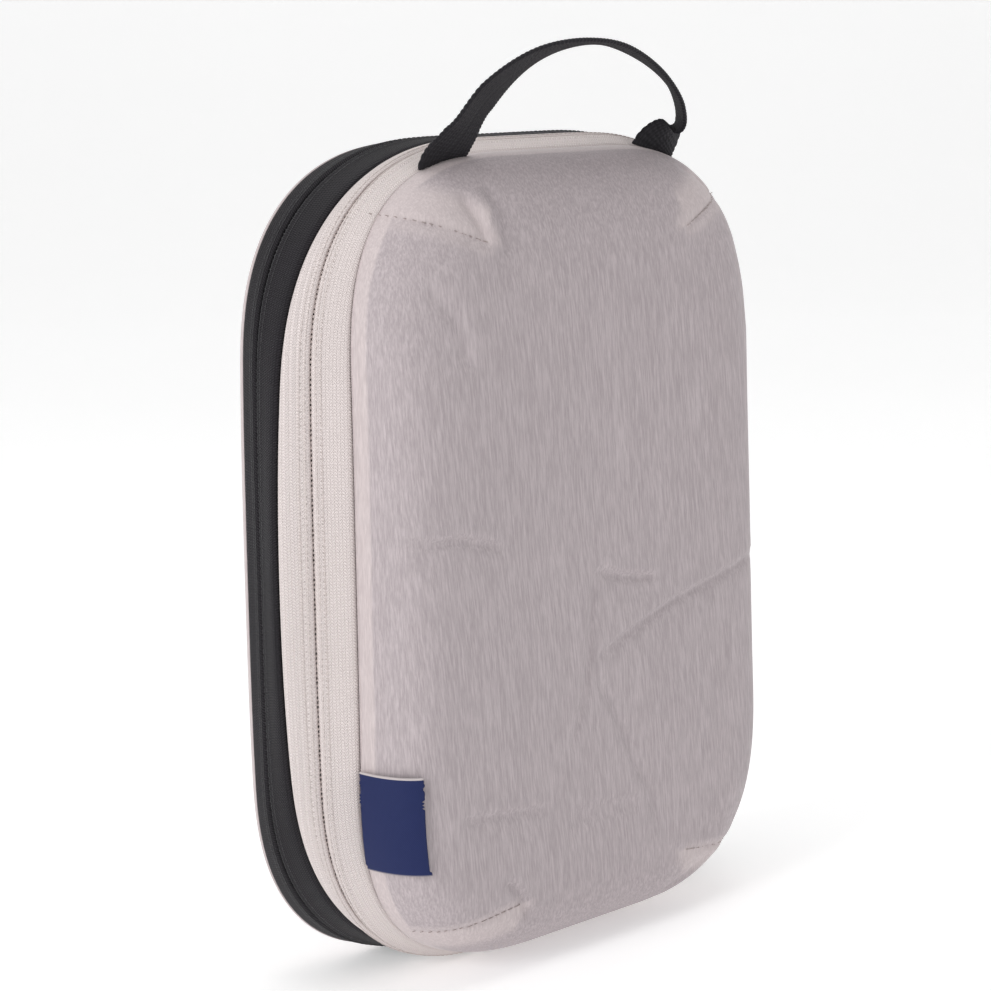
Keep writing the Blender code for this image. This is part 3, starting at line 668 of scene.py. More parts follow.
LINING = plain_weave_finish("grey_binding_tape", (0.60, 0.53, 0.53, 1),
                            (0.40, 0.345, 0.35, 1), 0.7 * MM)


def ring_inside(name, run, line, profile):
    """A ring of a closed profile, each point (inset, depth) from a seam line."""
    sections = np.stack([run.inset(line, inset, depth) for inset, depth in profile], 1)
    widths = np.cumsum([0] + [math.dist(a, b) for a, b in zip(profile, profile[1:])])
    weave = np.stack([np.stack([run.arc, np.full(len(run.arc), w)], -1) for w in widths], 1)
    return swept(name, sections, run.closed, weave)


def binding_profile(start, middle):
    """A folded tape round a seam allowance: round at the fold, flat sides."""
    half, end = 0.7 * MM, 8.0 * MM
    turn = [math.radians(a) for a in range(-90, 91, 30)]
    nose = [(end - half + half * math.cos(a), middle + half * math.sin(a)) for a in turn]
    near = [(start + j * MM, middle + half) for j in (4.0, 2.0, 0.0)]
    far = [(start + j * MM, middle - half) for j in (0.0, 2.0, 4.0)]
    return nose + near + far


RING_SPACING = 1.6 * MM
ring_run = Run(RING_SPACING)
BINDINGS = [
    ("front_seam_binding_tape", "lid", "front_seam_binding", FRONT_SEAM, 2.0 * MM),
    ("middle_seam_binding_tape", "shell", "middle_seam_binding", MIDDLE_SEAM, 0.0),
    ("back_seam_binding_tape", "back", "back_seam_binding", BACK_SEAM, -2.0 * MM),
]
for title, body, node, line, middle in BINDINGS:
    binding = ring_inside(title, ring_run, line, binding_profile(1.9 * MM, middle))
    fasten(binding, body, node, LINING)
    rims = []
    for face in (-1, 1):
        place = ring_run.inset(line, 3.4 * MM, middle + face * 0.71 * MM)
        rims.append((place, np.tile([0.0, face, 0.0], (len(place), 1)), True))
    sewn = row_along(title + "_stitches", rims, stitch_mesh(2.4 * MM), 3.0 * MM, WHITE_THREAD)
    fasten(sewn, body, None, None)


class BottomRun(Run):
    """Stations of a short strip on the bottom, from one side of the hinge to the other."""

    def __init__(self, spacing, half):
        x = line_points(MAIN_CLOSURE, OUTLINE)[:120, 0]
        end = np.interp(half, x, OUTLINE_ARC[:120])
        self.closed = False
        right = np.linspace(0, end, int(end / spacing))
        self.arc = np.concatenate([-right[:0:-1], right])
        self._place()

    def _place(self):
        flip = np.where(self.arc < 0, -1.0, 1.0)
        base = np.column_stack(
            [np.interp(np.abs(self.arc), OUTLINE_ARC, OUTLINE[:, j]) for j in range(4)])
        base[:, 0] *= flip
        base[:, 1] *= flip
        self.stations = base


hinge_run = BottomRun(0.8 * MM, HINGE_HALF)
columns = 22
outer, inner, marks = [], [], []
for part in np.linspace(0, 1, columns):
    k = FRONT_SEAM + (MIDDLE_SEAM - FRONT_SEAM) * part
    place, across, normal = hinge_run.frame(k)
    tuck = -0.5 * MM * (np.exp(-part * 22) + np.exp(-(1 - part) * 22))
    push = (0.2 * (1 - part) - 0.2 * part) * MM
    outer.append(place + across * push + normal * tuck)
    inner.append(place + across * push + normal * (tuck - 0.7 * MM))
    marks.append(np.stack([hinge_run.arc, np.full(len(hinge_run.arc), part * 16 * MM)], -1))
hinge = swept("lid_hinge_strip", np.stack(outer + inner[::-1], 1), False,
              np.stack(marks + marks[::-1], 1))
fasten(hinge, "shell", "hinge_strip", LINING)


# --- Front panel ----------------------------------------------------------------------------------
# The lid is one piece of thin heathered nylon, sewn all round into the front seam, with a dart
# at each corner that gives it its depth. It is slightly translucent, so that the seam and dart
# allowances behind it show as lighter bands. The load inside lifts it into soft folds.

CLOTH = 0.35 * MM
ALLOWANCE = 6.4 * MM
EDGE_INSET = 0.12 * MM
CROWN, CROWN_SAG = 21.5, 1.5    # mm at mid height, and how much more at the bottom
SHOULDER, SHOULDER_SAG = 12, 5  # how square the crown's edge is, in the same way
PANEL_TUCK = 0.6 * MM           # how far the cloth's edge dips under the tape
FOLD_FADE = 9 * MM              # from the seam, over which folds fade in
RIM_RINGS, FLAT_RINGS = 24, 86
LINING_INSET = 0.8 * MM


def side_width(line, z):
    """Half width of a line's outline at height z."""
    points = line_points(line, OUTLINE[: len(OUTLINE) // 2 + 1])
    return np.interp(z, points[:, 2], points[:, 0])


def share_to_edge(line, x, z):
    """How far (x, z) lies from a panel's middle to its seam, from 0 to 1, and that reach."""
    points = line_points(line, OUTLINE)
    middle = (LINES[line][3] + LINES[line][4]) / 2
    turns = np.arctan2(points[:, 2] - middle, points[:, 0])
    reaches = np.hypot(points[:, 0], points[:, 2] - middle) - EDGE_INSET
    reach = np.interp(np.arctan2(z - middle, x), turns, reaches, period=2 * math.pi)
    return np.hypot(x, z - middle) / reach, reach


def front_crown(share, z):
    """The lid's boxy crown; the load sags, so it is fuller and squarer towards the bottom."""
    low, high = LINES[FRONT_SEAM][3:]
    down = (low + high - 2 * z) / (high - low)
    power = SHOULDER + SHOULDER_SAG * down
    return (CROWN + CROWN_SAG * down) * MM * np.sqrt(np.clip(1 - share**power, 0, 1))


def panel_height(crown, relief, share, reach, x, z):
    """Height of a panel's face over its seam, and the distance walked from the seam."""
    base = crown(share, z)
    walked = (1 - share) * reach + base
    fade = 1 - np.exp(-((walked / FOLD_FADE) ** 2))
    tuck = PANEL_TUCK * np.exp(-walked / (0.8 * MM))
    return base + relief(x / MM, z / MM) * MM * fade - tuck, walked


def distance_to(path, x, z):
    """Distance to a polyline in mm, how far along it from 0 to 1, and which side (-1, 1)."""
    best = np.full(x.shape, 1e9)
    share, side = np.zeros(x.shape), np.zeros(x.shape)
    steps = [math.dist(a, b) for a, b in zip(path, path[1:])]
    total, done = sum(steps), 0.0
    for (ax, az), (bx, bz), step in zip(path, path[1:], steps):
        dx, dz = (bx - ax) / step, (bz - az) / step
        t = np.clip((x - ax) * dx + (z - az) * dz, 0, step)
        away = np.hypot(x - ax - dx * t, z - az - dz * t)
        closer = away < best
        best = np.where(closer, away, best)
        share = np.where(closer, (done + t) / total, share)
        side = np.where(closer, np.sign(dx * (z - az) - dz * (x - ax)), side)
        done += step
    return best, share, side


# Folds in the cloth in mm on the panel's face: path, depth, width, and how far one side lifts.
FOLDS = [
    ([(-86, 149), (-75, 146), (-64, 146), (-44, 141)], 0.55, 1.6, 0.5),
    ([(-3, 128), (8, 124), (28, 121)], 0.6, 1.7, 0.6),
    ([(-3, 128), (-5, 112), (-9, 88), (-16, 70)], 0.6, 2.2, -0.5),
    ([(-4, 98), (14, 105), (36, 112), (60, 117), (86, 122)], 0.6, 1.6, 0.6),
    ([(-5, 95), (4, 82), (12, 66), (22, 48), (26, 34)], 0.5, 2.2, -0.5),
    ([(-66, 57), (-46, 55), (-26, 53)], 0.45, 1.5, 0.5),
    ([(-20, 48), (0, 47), (22, 46)], 0.4, 3.0, 0.3),
    ([(-47, 33), (-40, 27), (-36, 18)], 0.7, 1.3, 0.7),
    ([(34, 9), (46, 13), (58, 19)], 0.5, 1.6, -0.6),
    ([(-72, 225), (-62, 215), (-58, 198)], 0.5, 3.0, 0.4),
    ([(-52, 252), (-49, 244), (-47, 236)], 0.8, 2.0, 0.6),
    ([(-43, 254), (-39, 246), (-40, 232)], 0.6, 2.4, -0.6),
    ([(52, 257), (64, 252), (78, 240)], 0.9, 1.5, 0.7),
    ([(84, 232), (88, 216), (88, 200)], 0.5, 2.0, 0.5),
]
DARTS = [
    [(-79.5, 247.2), (-64, 242.6), (-47.5, 236.9)],
    [(-76.5, 19.5), (-60, 21.0), (-42.0, 23.8)],
    [(79.5, 247.2), (64, 242.6), (47.5, 236.9)],
    [(76.5, 19.5), (60, 21.0), (42.0, 23.8)],
]
SWELLS = [  # x, z, height, radius of the soft lumps of the load, in mm
    (-40, 190, 0.9, 38), (30, 205, 0.8, 45), (45, 140, 0.9, 36), (-45, 100, 1.0, 34),
    (40, 70, 1.0, 34), (-10, 150, -0.5, 30), (0, 60, -0.7, 26), (-30, 30, 0.7, 22),
    (60, 40, 0.6, 20), (-60, 232, 1.1, 13), (-66, 30, 0.7, 12), (10, 235, 0.5, 26),
]


def load_relief(x, z, swells, folds, groove, lean, near):
    """The load's soft lumps and the folds, in mm; a fold's lean dies away near widths off it."""
    lift = np.zeros(x.shape)
    for cx, cz, height, radius in swells:
        lift += height * np.exp(-((x - cx) ** 2 + (z - cz) ** 2) / (2 * (radius / 1.6) ** 2))
    for path, depth, width, step in folds:
        away, share, side = distance_to(path, x, z)
        fade = np.clip(np.minimum(share, 1 - share) * 6, 0, 1) ** 0.7
        fade = fade * np.exp(-np.maximum(away - near * width, 0) / (3 * width))
        lift -= fade * groove * depth * np.exp(-((away / width) ** 2))
        lift += fade * step * lean * (side * np.tanh(away / width)) * np.exp(-away / (4 * width))
    return lift


def cloth_relief(x, z):
    """Folds, darts and the load's lumps, in mm, before they fade out at the seam."""
    lift = load_relief(x, z, SWELLS, FOLDS, 1.9, 1.1, 3)
    for path in DARTS:
        away, share, side = distance_to(path, x, z)
        out = np.exp(-((away / 0.8) ** 2)) * (1 - share**6)
        lift -= 0.8 * out
        lift += 0.5 * np.exp(-(((away - 3.2) / 2.6) ** 2)) * (1 - 0.6 * share)
        lift += 0.35 * side * np.exp(-away / 5) * (1 - share)
        tip_x, tip_z = path[-1]
        around = np.arctan2(z - tip_z, x - tip_x)
        reach = np.hypot(x - tip_x, z - tip_z)
        lift += 0.2 * np.cos(5 * around + 0.6) * np.exp(-((reach - 6) / 5) ** 2)
    return lift


def dart_layers(x, z):
    """How much doubled cloth lies behind a point near the darts, from 0 to 1."""
    mask = np.zeros(x.shape)
    for path in DARTS:
        away, share, side = distance_to(path, x, z)
        top = path[0][1] > 100
        outer = side > 0 if (path[0][0] < 0) == top else side < 0
        reach = np.where(outer, 15.0 if top else 11.0, 6.0 if top else 3.0)
        near = np.clip((reach - away) / (0.45 * reach), 0, 1)
        beyond = np.hypot(x - path[-1][0], z - path[-1][1])
        near *= np.where(share > 0.999, np.clip((9 - beyond) / 7, 0, 1), 1)
        mask = np.maximum(mask, near * np.where(outer, 1.0, 0.55))
    return mask * mask * (3 - 2 * mask)


def panel_skin(name, line, facing, crown, relief, layers):
    """A sewn panel: rings from the seam inwards on its face, and the same on its lining side."""
    run = Run(1.75 * MM)
    low, high = LINES[line][3:]
    centre = np.array([0, LINES[line][0], (low + high) / 2])
    edge = run.inset(line, EDGE_INSET, 0)
    rim = 1 - np.linspace(0, 0.9, RIM_RINGS) ** 2 / SHOULDER
    shares = np.concatenate([rim, np.linspace(rim[-1], 0.012, FLAT_RINGS)[1:]])[:, None]
    reach = np.linalg.norm(edge - centre, axis=1)
    spots = centre + (edge - centre) * shares[..., None]
    height, walked = panel_height(crown, relief, shares, reach, spots[..., 0], spots[..., 2])
    spots[..., 1] += facing * height
    flat = np.array([1, 0, 1])
    lining = spots + (centre - spots) * flat * (LINING_INSET / reach)[:, None]
    lining[..., 1] -= facing * CLOTH
    mesh_rings = [*lining[::-2], *spots]
    fade = [*walked[::-2], *walked]
    count = len(edge)
    verts = np.concatenate(mesh_rings)
    index = np.arange(len(verts)).reshape(len(mesh_rings), count)
    polygons = ring_quads(index, False) + [index[0][::-1].tolist(), index[-1].tolist()]
    mesh = bpy.data.meshes.new(name)
    mesh.from_pydata(verts.tolist(), [], polygons)
    gaps = np.concatenate(fade)
    doubled = layers(verts[:, 0] / MM, verts[:, 2] / MM)
    for key, values in (("to_seam", gaps), ("doubled", doubled)):
        layer = mesh.attributes.new(key, "FLOAT", "POINT")
        layer.data.foreach_set("value", values.astype(np.float32))
    mend(mesh, fan=True)
    return placed(name, mesh)


def heather_finish(name):
    """Thin two-tone nylon: pale slubs along the warp, lighter where cloth is doubled."""
    finish = Finish(name, Roughness=0.6, Sheen_Weight=0.12, Sheen_Roughness=0.35,
                    Specular_IOR_Level=0.25)
    place = finish.place()
    split = finish.node("ShaderNodeSeparateXYZ", {}, {0: place})
    x, y, z = split, split.out("Y"), split.out("Z")
    bent = finish.node("ShaderNodeCombineXYZ", {}, {"X": x + z * 0.09, "Y": y, "Z": z})
    slubs = finish.noise(finish.stretched(bent, 1500, 1500, 95), 1.0, 2.0, 0.6)
    threads = finish.noise(finish.stretched(bent, 3000, 3000, 230), 1.0, 2.0, 0.6)
    clumps = finish.noise(finish.stretched(bent, 160, 160, 45), 1.0, 2.0, 0.5)
    grain = finish.noise(place, 2600.0, 1.0)
    tone = (slubs.between(0.36, 0.72) * 0.4 + threads.between(0.3, 0.72) * 0.3
            + grain * 0.15 + clumps * 0.15)
    cloth = finish.blend(tone, (0.335, 0.290, 0.302, 1), (0.560, 0.495, 0.510, 1))
    seam = finish.mark("to_seam")
    doubled = finish.mark("doubled")
    wander = finish.noise(place, 60.0, 2.0) * 1.2 * MM
    band = (seam + wander).between(ALLOWANCE + 1.4 * MM, ALLOWANCE - 0.4 * MM)
    behind = band.math("MAXIMUM", doubled * 0.95)
    soft = finish.blend(tone, (0.55, 0.475, 0.475, 1), (0.70, 0.62, 0.61, 1))
    finish.feed("Base Color", finish.blend(behind * 0.68, cloth, soft))
    warp = (x * (1 / (0.36 * MM))).wave()
    weft = (z * (1 / (0.36 * MM))).wave()
    knit = warp * weft
    finish.feed("Roughness", tone * -0.15 + 0.68)
    fine = finish.bump(knit * 0.6 + grain * 0.4, 0.05 * MM, 0.5)
    finish.feed("Normal", finish.bump(tone, 0.05 * MM, 0.35, fine))
    return finish.material


HEATHER = heather_finish("heathered_panel_nylon")
front = panel_skin("lid_panel", FRONT_SEAM, -1, front_crown, cloth_relief, dart_layers)
fasten(front, "lid", "front_panel", HEATHER)

# The darts are closed with a row of pale lock stitches that shows on the face.


STITCH_LIFT = 0.22 * MM


def on_front(x, z):
    """Point on the lid's face at x, z in mm."""
    share, reach = share_to_edge(FRONT_SEAM, x * MM, z * MM)
    spot = np.array([x * MM]), np.array([z * MM])
    height, _ = panel_height(front_crown, cloth_relief, share, reach, *spot)
    return [x * MM, LINES[FRONT_SEAM][0] - float(height[0]) - STITCH_LIFT, z * MM]


dart_rows = []
for path in DARTS:
    (ax, az), (bx, bz), (cx, cz) = path
    share = np.linspace(0.1, 1.0, 40)
    xs = np.interp(share, [0, 0.5, 1], [ax, bx, cx])
    zs = np.interp(share, [0, 0.5, 1], [az, bz, cz])
    points = np.array([on_front(x, z) for x, z in zip(xs, zs)])
    dart_rows.append((points, np.tile([0.0, -1.0, 0.0], (len(points), 1)), False))
DART_THREAD = thread_finish("dart_thread", (0.42, 0.34, 0.32, 1))
darts = row_along("dart_stitches", dart_rows, stitch_mesh(2.2 * MM), 2.7 * MM, DART_THREAD,
                  0.15)
fasten(darts, "lid", None, None)


# --- Back panel and gusset -----------------------------------------------------------------------
# The back is the same nylon with the same darts, puffed further out by the load. Behind the
# compression zip lies the gusset, a ring of that nylon folded in half.

BACK_SWELLS = [(-35, 180, 1.2, 40), (38, 120, 1.2, 40), (-20, 70, 1.0, 36), (30, 215, 0.8, 30)]
BACK_FOLDS = [
    ([(-70, 200), (-50, 190), (-20, 186)], 0.5, 2.0, 0.6),
    ([(70, 80), (40, 92), (10, 96)], 0.6, 2.2, -0.6),
    ([(-60, 60), (-40, 70), (-25, 90)], 0.5, 2.0, 0.5),
]


def back_relief(x, z):
    lift = load_relief(x, z, BACK_SWELLS, BACK_FOLDS, 1.0, 0.5, math.inf)
    for path in DARTS:
        away, share, side = distance_to(path, x * 0.95, z * 0.975 + 3)
        lift -= 1.0 * np.exp(-((away / 0.9) ** 2)) * (1 - share**6)
        lift += 0.8 * np.exp(-(((away - 3.2) / 2.6) ** 2)) * (1 - 0.6 * share)
    return lift


def back_layers(x, z):
    return dart_layers(x * 0.95, z * 0.975 + 3)


BACK_CROWN = 16 * MM


def back_crown(share, z):
    return BACK_CROWN * np.clip(1 - share**4, 0, 1) ** 0.7


back = panel_skin("back_skin", BACK_SEAM, 1, back_crown, back_relief, back_layers)
fasten(back, "back", "back_panel", HEATHER)

rim, back_rim, fold, cloth = 3.8 * MM, 6.4 * MM, 19.2 * MM, 0.5 * MM
start = 1.1 * MM
end = LINES[BACK_SEAM][0] - LINES[MIDDLE_SEAM][0] - 3.1 * MM
half_fold = (start + end) / 2
leg_out = [(rim + (fold - rim) * t, start + (half_fold - 0.5 * MM - start) * t**1.3)
           for t in np.linspace(0, 1, 12)]
leg_back = [(max(i, back_rim), start + end - d) for i, d in reversed(leg_out)]
face_line = leg_out + leg_back
inner_line = [(i - cloth * (0.4 + t), d + cloth * (1 - 2 * t))
              for (i, d), t in zip(face_line, np.linspace(0, 1, len(face_line)))]
profile = face_line + inner_line[::-1]
gusset = ring_inside("expansion_gusset_cloth", ring_run, MIDDLE_SEAM, profile)
gusset.data.materials.append(plain_weave_finish("gusset_nylon", (0.50, 0.44, 0.46, 1),
                                                (0.33, 0.28, 0.30, 1), 0.45 * MM))
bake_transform(gusset)
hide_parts("expansion_gusset")


# --- Handle ---------------------------------------------------------------------------------------
# The handle is a loop of 19 mm black polyester webbing. Its ends lie flat in the front seam,
# sewn in with it, and the strap turns edgeways on its way up, so that it is easy to grip.

STRAP_WIDTH = 19 * MM
STRAP_THICK = 1.4 * MM
RIB = 1.45 * MM
YARNS = 13
KNUCKLE = 0.26 * MM             # how far the ribs stand out
STRAP_DIP = 0.14 * MM           # the shallow line along the middle
SCALLOP = 0.28 * MM             # how far the ribs stand out at the edges
SEWN = 0.6          # path steps over which the sewn ends turn into the seam
# middle of the strap in mm from its left end to its right end, and its twist in degrees
STRAP_PATH = np.array([
    (-49.5, -17.5, 261.2, 0), (-46.5, -24.5, 270, 20), (-41, -30.5, 281, 35),
    (-28, -34.5, 290.7, 55), (-9, -35.5, 296, 78), (10, -35, 296.3, 97),
    (32, -31.5, 290, 113), (49, -28, 280.5, 130), (57, -22.5, 270, 143),
    (49.5, -17.5, 261.2, 180),
])


def unit(vectors):
    return vectors / np.linalg.norm(vectors, axis=-1)[..., None]


def smooth_path(rows, u):
    """A smooth curve through the rows at u = 0, 1, 2 and so on."""
    ends = 2 * rows[:1] - rows[1:2], 2 * rows[-1:] - rows[-2:-1]
    padded = np.concatenate([ends[0], rows, ends[1]])
    j = np.minimum(u.astype(int), len(rows) - 2)
    t = (u - j)[:, None]
    before, first, second, after = (padded[j + k] for k in range(4))
    return cubic(first, second, (second - before) / 2, (after - first) / 2, t)


def seam_slope(x, step=5 * MM):
    points = line_points(FRONT_SEAM, OUTLINE[len(OUTLINE) // 4: len(OUTLINE) // 2 + 1])
    low, high = np.interp([x - step, x + step], points[::-1, 0], points[::-1, 2])
    return (low - high) / (2 * step)


last = len(STRAP_PATH) - 1
t = np.linspace(0, last, 620)
along_path = smooth_path(STRAP_PATH, t)
centre = along_path[:, :3] * MM
turn = np.radians(along_path[:, 3])[:, None]
run_direction = unit(np.gradient(centre, axis=0))
backwards = unit(np.array([0, 1, 0]) - run_direction * run_direction[:, 1:2])
width = np.cross(backwards, run_direction) * np.cos(turn) + backwards * np.sin(turn)
to_end = np.minimum(t, last - t)
hold = (np.clip(1 - to_end / SEWN, 0, 1) ** 2)[:, None]
slope = seam_slope(49.5 * MM)
seam_way = np.stack([np.ones(len(t)), np.zeros(len(t)), np.where(t < last / 2, slope, -slope)], -1)
width = unit(width * (1 - hold) + unit(seam_way) * hold)
face = unit(np.cross(run_direction, width))
length = np.concatenate([[0], np.cumsum(np.linalg.norm(np.diff(centre, axis=0), axis=1))])
columns = 53
across_share = np.linspace(-1, 1, columns)
phase = length / RIB
faces, marks = [], []
for sign in (1, -1):
    order = across_share if sign > 0 else across_share[::-1]
    for share in order:
        yarn = (share + 1) / 2 * YARNS
        stagger = 0.5 * (int(min(yarn, YARNS - 0.001)) % 2) * 0.35
        knuckle = np.abs(np.sin(math.pi * (phase + stagger))) ** 0.7
        between = abs(math.sin(math.pi * yarn)) ** 0.6
        relief = KNUCKLE * knuckle * (0.45 + 0.55 * between)
        middle_dip = STRAP_DIP * math.exp(-((share / 0.06) ** 2))
        edge_round = STRAP_THICK / 2 * (1 - max(0, (abs(share) - 0.93) / 0.07) ** 2 * 0.8)
        scallop = SCALLOP * (knuckle - 0.5) * (abs(share) ** 12) * np.sign(share)
        side = share * STRAP_WIDTH / 2 + scallop
        out = edge_round + relief - middle_dip - 0.2 * MM
        faces.append(centre + width * side[:, None] + face * (sign * out)[:, None])
        marks.append(np.stack([length, np.full(len(t), share * STRAP_WIDTH / 2)], -1))
strap = swept("handle_webbing", np.stack(faces, 1), False, np.stack(marks, 1))

webbing = Finish("black_webbing", Roughness=0.75, Sheen_Weight=0.05, Specular_IOR_Level=0.2)
along, across = webbing.weave()
strands = (across / (0.42 * MM) + along / (1.1 * MM)).wave()
ribs = (along / RIB).wave()
fleck = webbing.noise(webbing.place(), 700.0, 2.0)
tone = strands * 0.45 + ribs * 0.2 + fleck * 0.35
webbing.feed("Base Color", webbing.blend(tone, (0.004, 0.0035, 0.005, 1),
                                         (0.022, 0.020, 0.025, 1)))
webbing.feed("Roughness", tone * -0.2 + 0.78)
webbing.feed("Normal", webbing.bump(strands, 0.07 * MM, 0.7))
fasten(strap, "handle", "handle_strap", webbing.material)


# --- Side label -----------------------------------------------------------------------------------
# A folded tag of navy satin weave is caught in the left of the front seam, low down. Its cut top
# edge shows the white ground of the ribbon. The real tag's lettering is left off.

LABEL_TOP = 74 * MM
LABEL_HEIGHT = 32 * MM
LABEL_WIDTH = 21 * MM
LABEL_REACH = 26 * MM           # how far in from the seam its path is worked out
LABEL_HALF = 0.34 * MM          # half its thickness
rows = np.linspace(0, 1, 60)
columns = np.linspace(0, 1, 36)
outer, inner, marks = [], [], []
for row in rows:
    z = LABEL_TOP - LABEL_HEIGHT * row
    x = -side_width(FRONT_SEAM, z) + LABEL_REACH * np.linspace(0, 1, 400) ** 2
    share, _ = share_to_edge(FRONT_SEAM, x, z)
    lift = front_crown(np.clip(share, 0, 1), z)
    x, lift = x[lift > 0], lift[lift > 0]
    walked = np.concatenate([[0], np.cumsum(np.hypot(np.diff(x), np.diff(lift)))])
    spot = np.stack([np.interp(columns * LABEL_WIDTH, walked, v) for v in (x, lift)], -1)
    along = np.gradient(spot, axis=0)
    out = unit(np.stack([-along[:, 1], along[:, 0]], -1))
    thick = (LABEL_HALF * (1 - np.clip((columns - 0.9) / 0.1, 0, 1) ** 2 * 0.7))[:, None]
    stand = ((1.2 + 1.0 * columns + 0.15 * np.sin(row * 5 + columns * 2) * columns) * MM)[:, None]
    for points, gap in ((outer, stand + thick), (inner, stand - thick)):
        place = spot + out * gap
        depth = LINES[FRONT_SEAM][0] - np.maximum(place[:, 1], 0.2 * MM)
        points.append(np.stack([place[:, 0], depth, np.full(len(columns), z)], -1))
    marks.append(np.stack([np.full(len(columns), row * LABEL_HEIGHT), columns * LABEL_WIDTH], -1))
outer, inner, marks = ([np.stack(part, 0)[:, j] for j in range(len(columns))]
                       for part in (outer, inner, marks))
tag = swept("side_label_tag", np.stack(outer + inner[::-1], 1), False,
            np.stack(marks + marks[::-1], 1))
satin = Finish("navy_satin_label", Roughness=0.6, Sheen_Weight=0.05, Specular_IOR_Level=0.2)
along, across = satin.weave()
picks = (along / (0.34 * MM)).wave()
ends = (across / (0.5 * MM) + along / (0.7 * MM)).wave()
thread = picks * 0.6 + ends * 0.4
navy = satin.blend(thread, (0.005, 0.010, 0.055, 1), (0.017, 0.028, 0.115, 1))
white_edge = along.between(0.75 * MM, 0.45 * MM)
hem = (along - (LABEL_HEIGHT - 0.3 * MM)).between(-0.2 * MM, 0.2 * MM) * 0.4
satin.feed("Base Color", satin.blend(white_edge.math("MAXIMUM", hem), navy,
                                     (0.55, 0.50, 0.50, 1)))
satin.feed("Normal", satin.bump(thread, 0.06 * MM, 0.7))
fasten(tag, "lid", "side_label", satin.material)


# --- Sliders, pulls and stops ---------------------------------------------------------------------
# Each zip has one die-cast slider with a pressed crown and a flat pull, all black lacquered. The
# nylon end stops are melted on. They keep their exact solids, with the edges rounded over.

lacquer = Finish("black_lacquered_zinc", Metallic=0.85, Coat_Weight=0.5, Coat_Roughness=0.2)
place = lacquer.place()
wear = lacquer.noise(place, 420.0, 4.0, 0.6).between(0.60, 0.72)
cloud = lacquer.noise(place, 150.0, 3.0)
lacquer.feed("Base Color", lacquer.blend(wear * 0.6, (0.022, 0.021, 0.025, 1),
                                         (0.20, 0.19, 0.19, 1)))
lacquer.feed("Roughness", cloud * 0.25 + 0.24)
lacquer.feed("Normal", lacquer.bump(cloud, 0.02 * MM, 0.3))


def rounded_copy(node, title, edge, segments):
    """A CAD node's own shape with its loose triangles joined and its edges rounded."""
    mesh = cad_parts[node].data.copy()
    mesh.name = title
    mesh.materials.clear()
    bm = bmesh.new()
    bm.from_mesh(mesh)
    bmesh.ops.remove_doubles(bm, verts=bm.verts, dist=2e-6)
    bmesh.ops.dissolve_limit(bm, angle_limit=math.radians(1), verts=bm.verts, edges=bm.edges)
    bm.to_mesh(mesh)
    bm.free()
    copy = placed(title, mesh)
    soft = copy.modifiers.new("Rounded", "BEVEL")
    soft.width = edge
    soft.segments = segments
    soft.limit_method = "ANGLE"
    soft.angle_limit = math.radians(28)
    plain = evaluated_mesh(copy)
    copy.modifiers.remove(soft)
    copy.data = plain
    plain.shade_smooth()
    plain.set_sharp_from_angle(angle=math.radians(50))
    return copy


HARDWARE = [
    ("main_zip_slider", "main_slider", "slider_metal", 0.28),
    ("main_zip_crown", "main_slider", "slider_metal", 0.25),
    ("main_zip_pull", "main_pull", "slider_metal", 0.3),
    ("compression_zip_slider", "compression_slider", "slider_metal", 0.28),
    ("compression_zip_crown", "compression_slider", "slider_metal", 0.25),
    ("compression_zip_pull", "compression_pull", "slider_metal", 0.3),
    ("main_zip_end_stop_left", "shell", "white_coil", 0.3),
    ("main_zip_end_stop_right", "shell", "white_coil", 0.3),
    ("compression_zip_end_stop_left", "shell", "black_coil", 0.3),
    ("compression_zip_end_stop_right", "shell", "black_coil", 0.3),
]
COATS = {"slider_metal": lacquer.material, "white_coil": WHITE_NYLON, "black_coil": BLACK_NYLON}
for node, body, slot, edge in HARDWARE:
    piece = rounded_copy(node, node + "_finished", edge * MM, 3)
    fasten(piece, body, node, COATS[slot])


# --- Studio ---------------------------------------------------------------------------------------
# A pale seamless floor and large soft lights, with the camera at the left front.

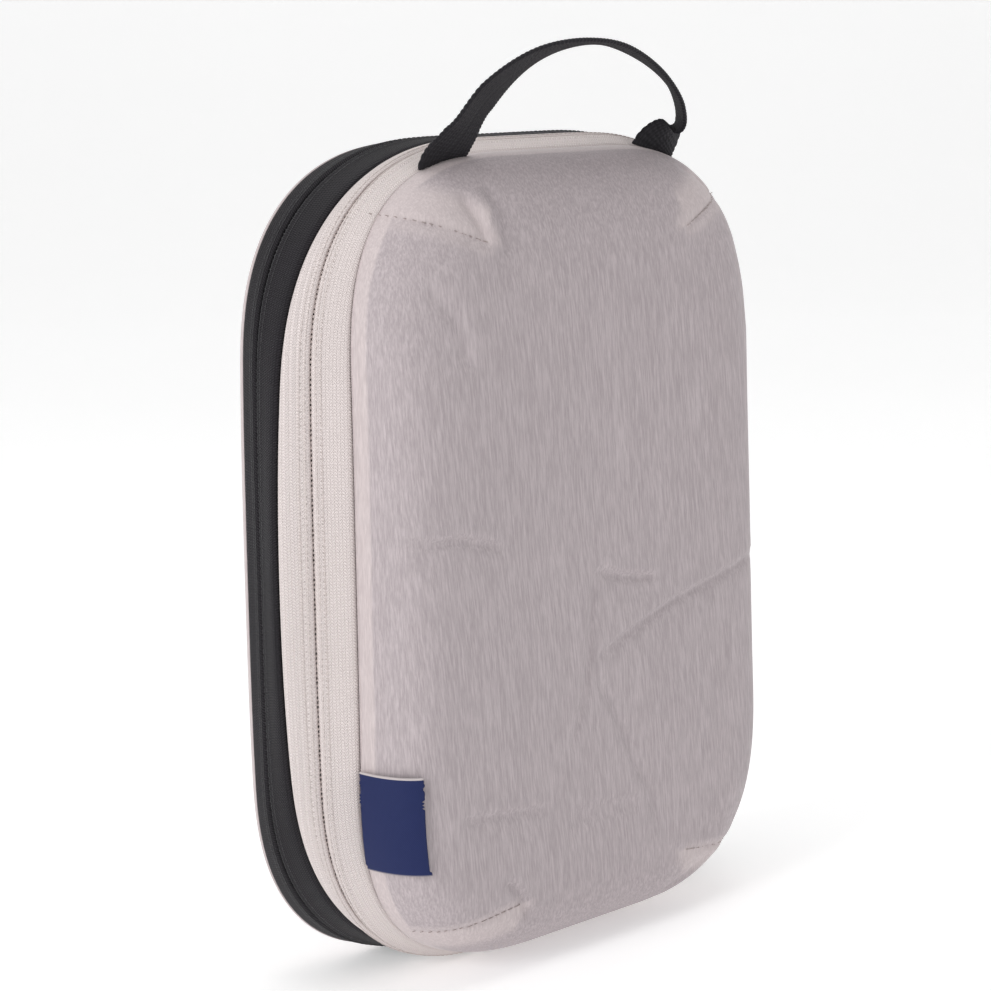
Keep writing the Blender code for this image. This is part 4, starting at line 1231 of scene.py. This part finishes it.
turn = [math.radians(a) for a in range(0, 91, 9)]
bend = [(2.0 + 0.8 * math.sin(a), 0.8 - 0.8 * math.cos(a) - 0.0005) for a in turn]
rail = [(-6.0, -0.0005), *bend, (2.8, 5.0)]
ahead, aside = Vector((0.709, 0.705, 0)), Vector((0.705, -0.709, 0))
verts = [ahead * far + aside * wide + Vector((0, 0, z)) for far, z in rail for wide in (-6, 6)]
faces = [(2 * j, 2 * j + 1, 2 * j + 3, 2 * j + 2) for j in range(len(rail) - 1)]
floor_mesh = bpy.data.meshes.new("studio_floor")
floor_mesh.from_pydata([tuple(v) for v in verts], [], faces)
floor_mesh.shade_smooth()
floor = placed("studio_floor", floor_mesh)
paper = Finish("studio_paper", Roughness=0.9, Specular_IOR_Level=0.1, Emission_Strength=0.3,
               Emission_Color=(1, 1, 1, 1))
paper.feed("Base Color", paper.blend(paper.noise(paper.place(), 3.0), (0.90, 0.90, 0.90, 1),
                                     (0.92, 0.92, 0.92, 1)))
floor_mesh.materials.append(paper.material)

world = bpy.data.worlds.new("studio_world")
world.use_nodes = True
world.node_tree.nodes["Background"].inputs["Color"].default_value = (1, 1, 1, 1)
world.node_tree.nodes["Background"].inputs["Strength"].default_value = 0.45
bpy.context.scene.world = world


def soft_light(name, place, aim, size, power):
    lamp = bpy.data.lights.new(name, "AREA")
    lamp.size = size
    lamp.energy = power
    holder = placed(name, lamp)
    holder.location = place
    holder.rotation_euler = (Vector(aim) - Vector(place)).to_track_quat("-Z", "Y").to_euler()


soft_light("key_light", (-1.9, -0.15, 0.8), (0, 0, 0.13), 0.7, 17)
soft_light("fill_light", (0.5, -1.9, 0.9), (0, 0, 0.13), 1.4, 5)
soft_light("top_light", (0.0, -0.1, 1.8), (0, 0, 0.13), 1.0, 7)

eye = bpy.data.cameras.new("camera")
eye.lens = 99.2
eye.sensor_width = 36
eye.clip_start = 0.02
eye.clip_end = 20
camera = placed("camera", eye)
yaw, pitch, roll = math.radians(-45.18), math.radians(-9.44), math.radians(-0.88)
camera.matrix_world = (Matrix.Translation((-0.6438, -0.6305, 0.2977))
                       @ Matrix.Rotation(yaw, 4, "Z")
                       @ Matrix.Rotation(math.pi / 2 + pitch, 4, "X")
                       @ Matrix.Rotation(roll, 4, "Z"))
bpy.context.scene.camera = camera
bpy.context.scene.view_settings.view_transform = "Standard"
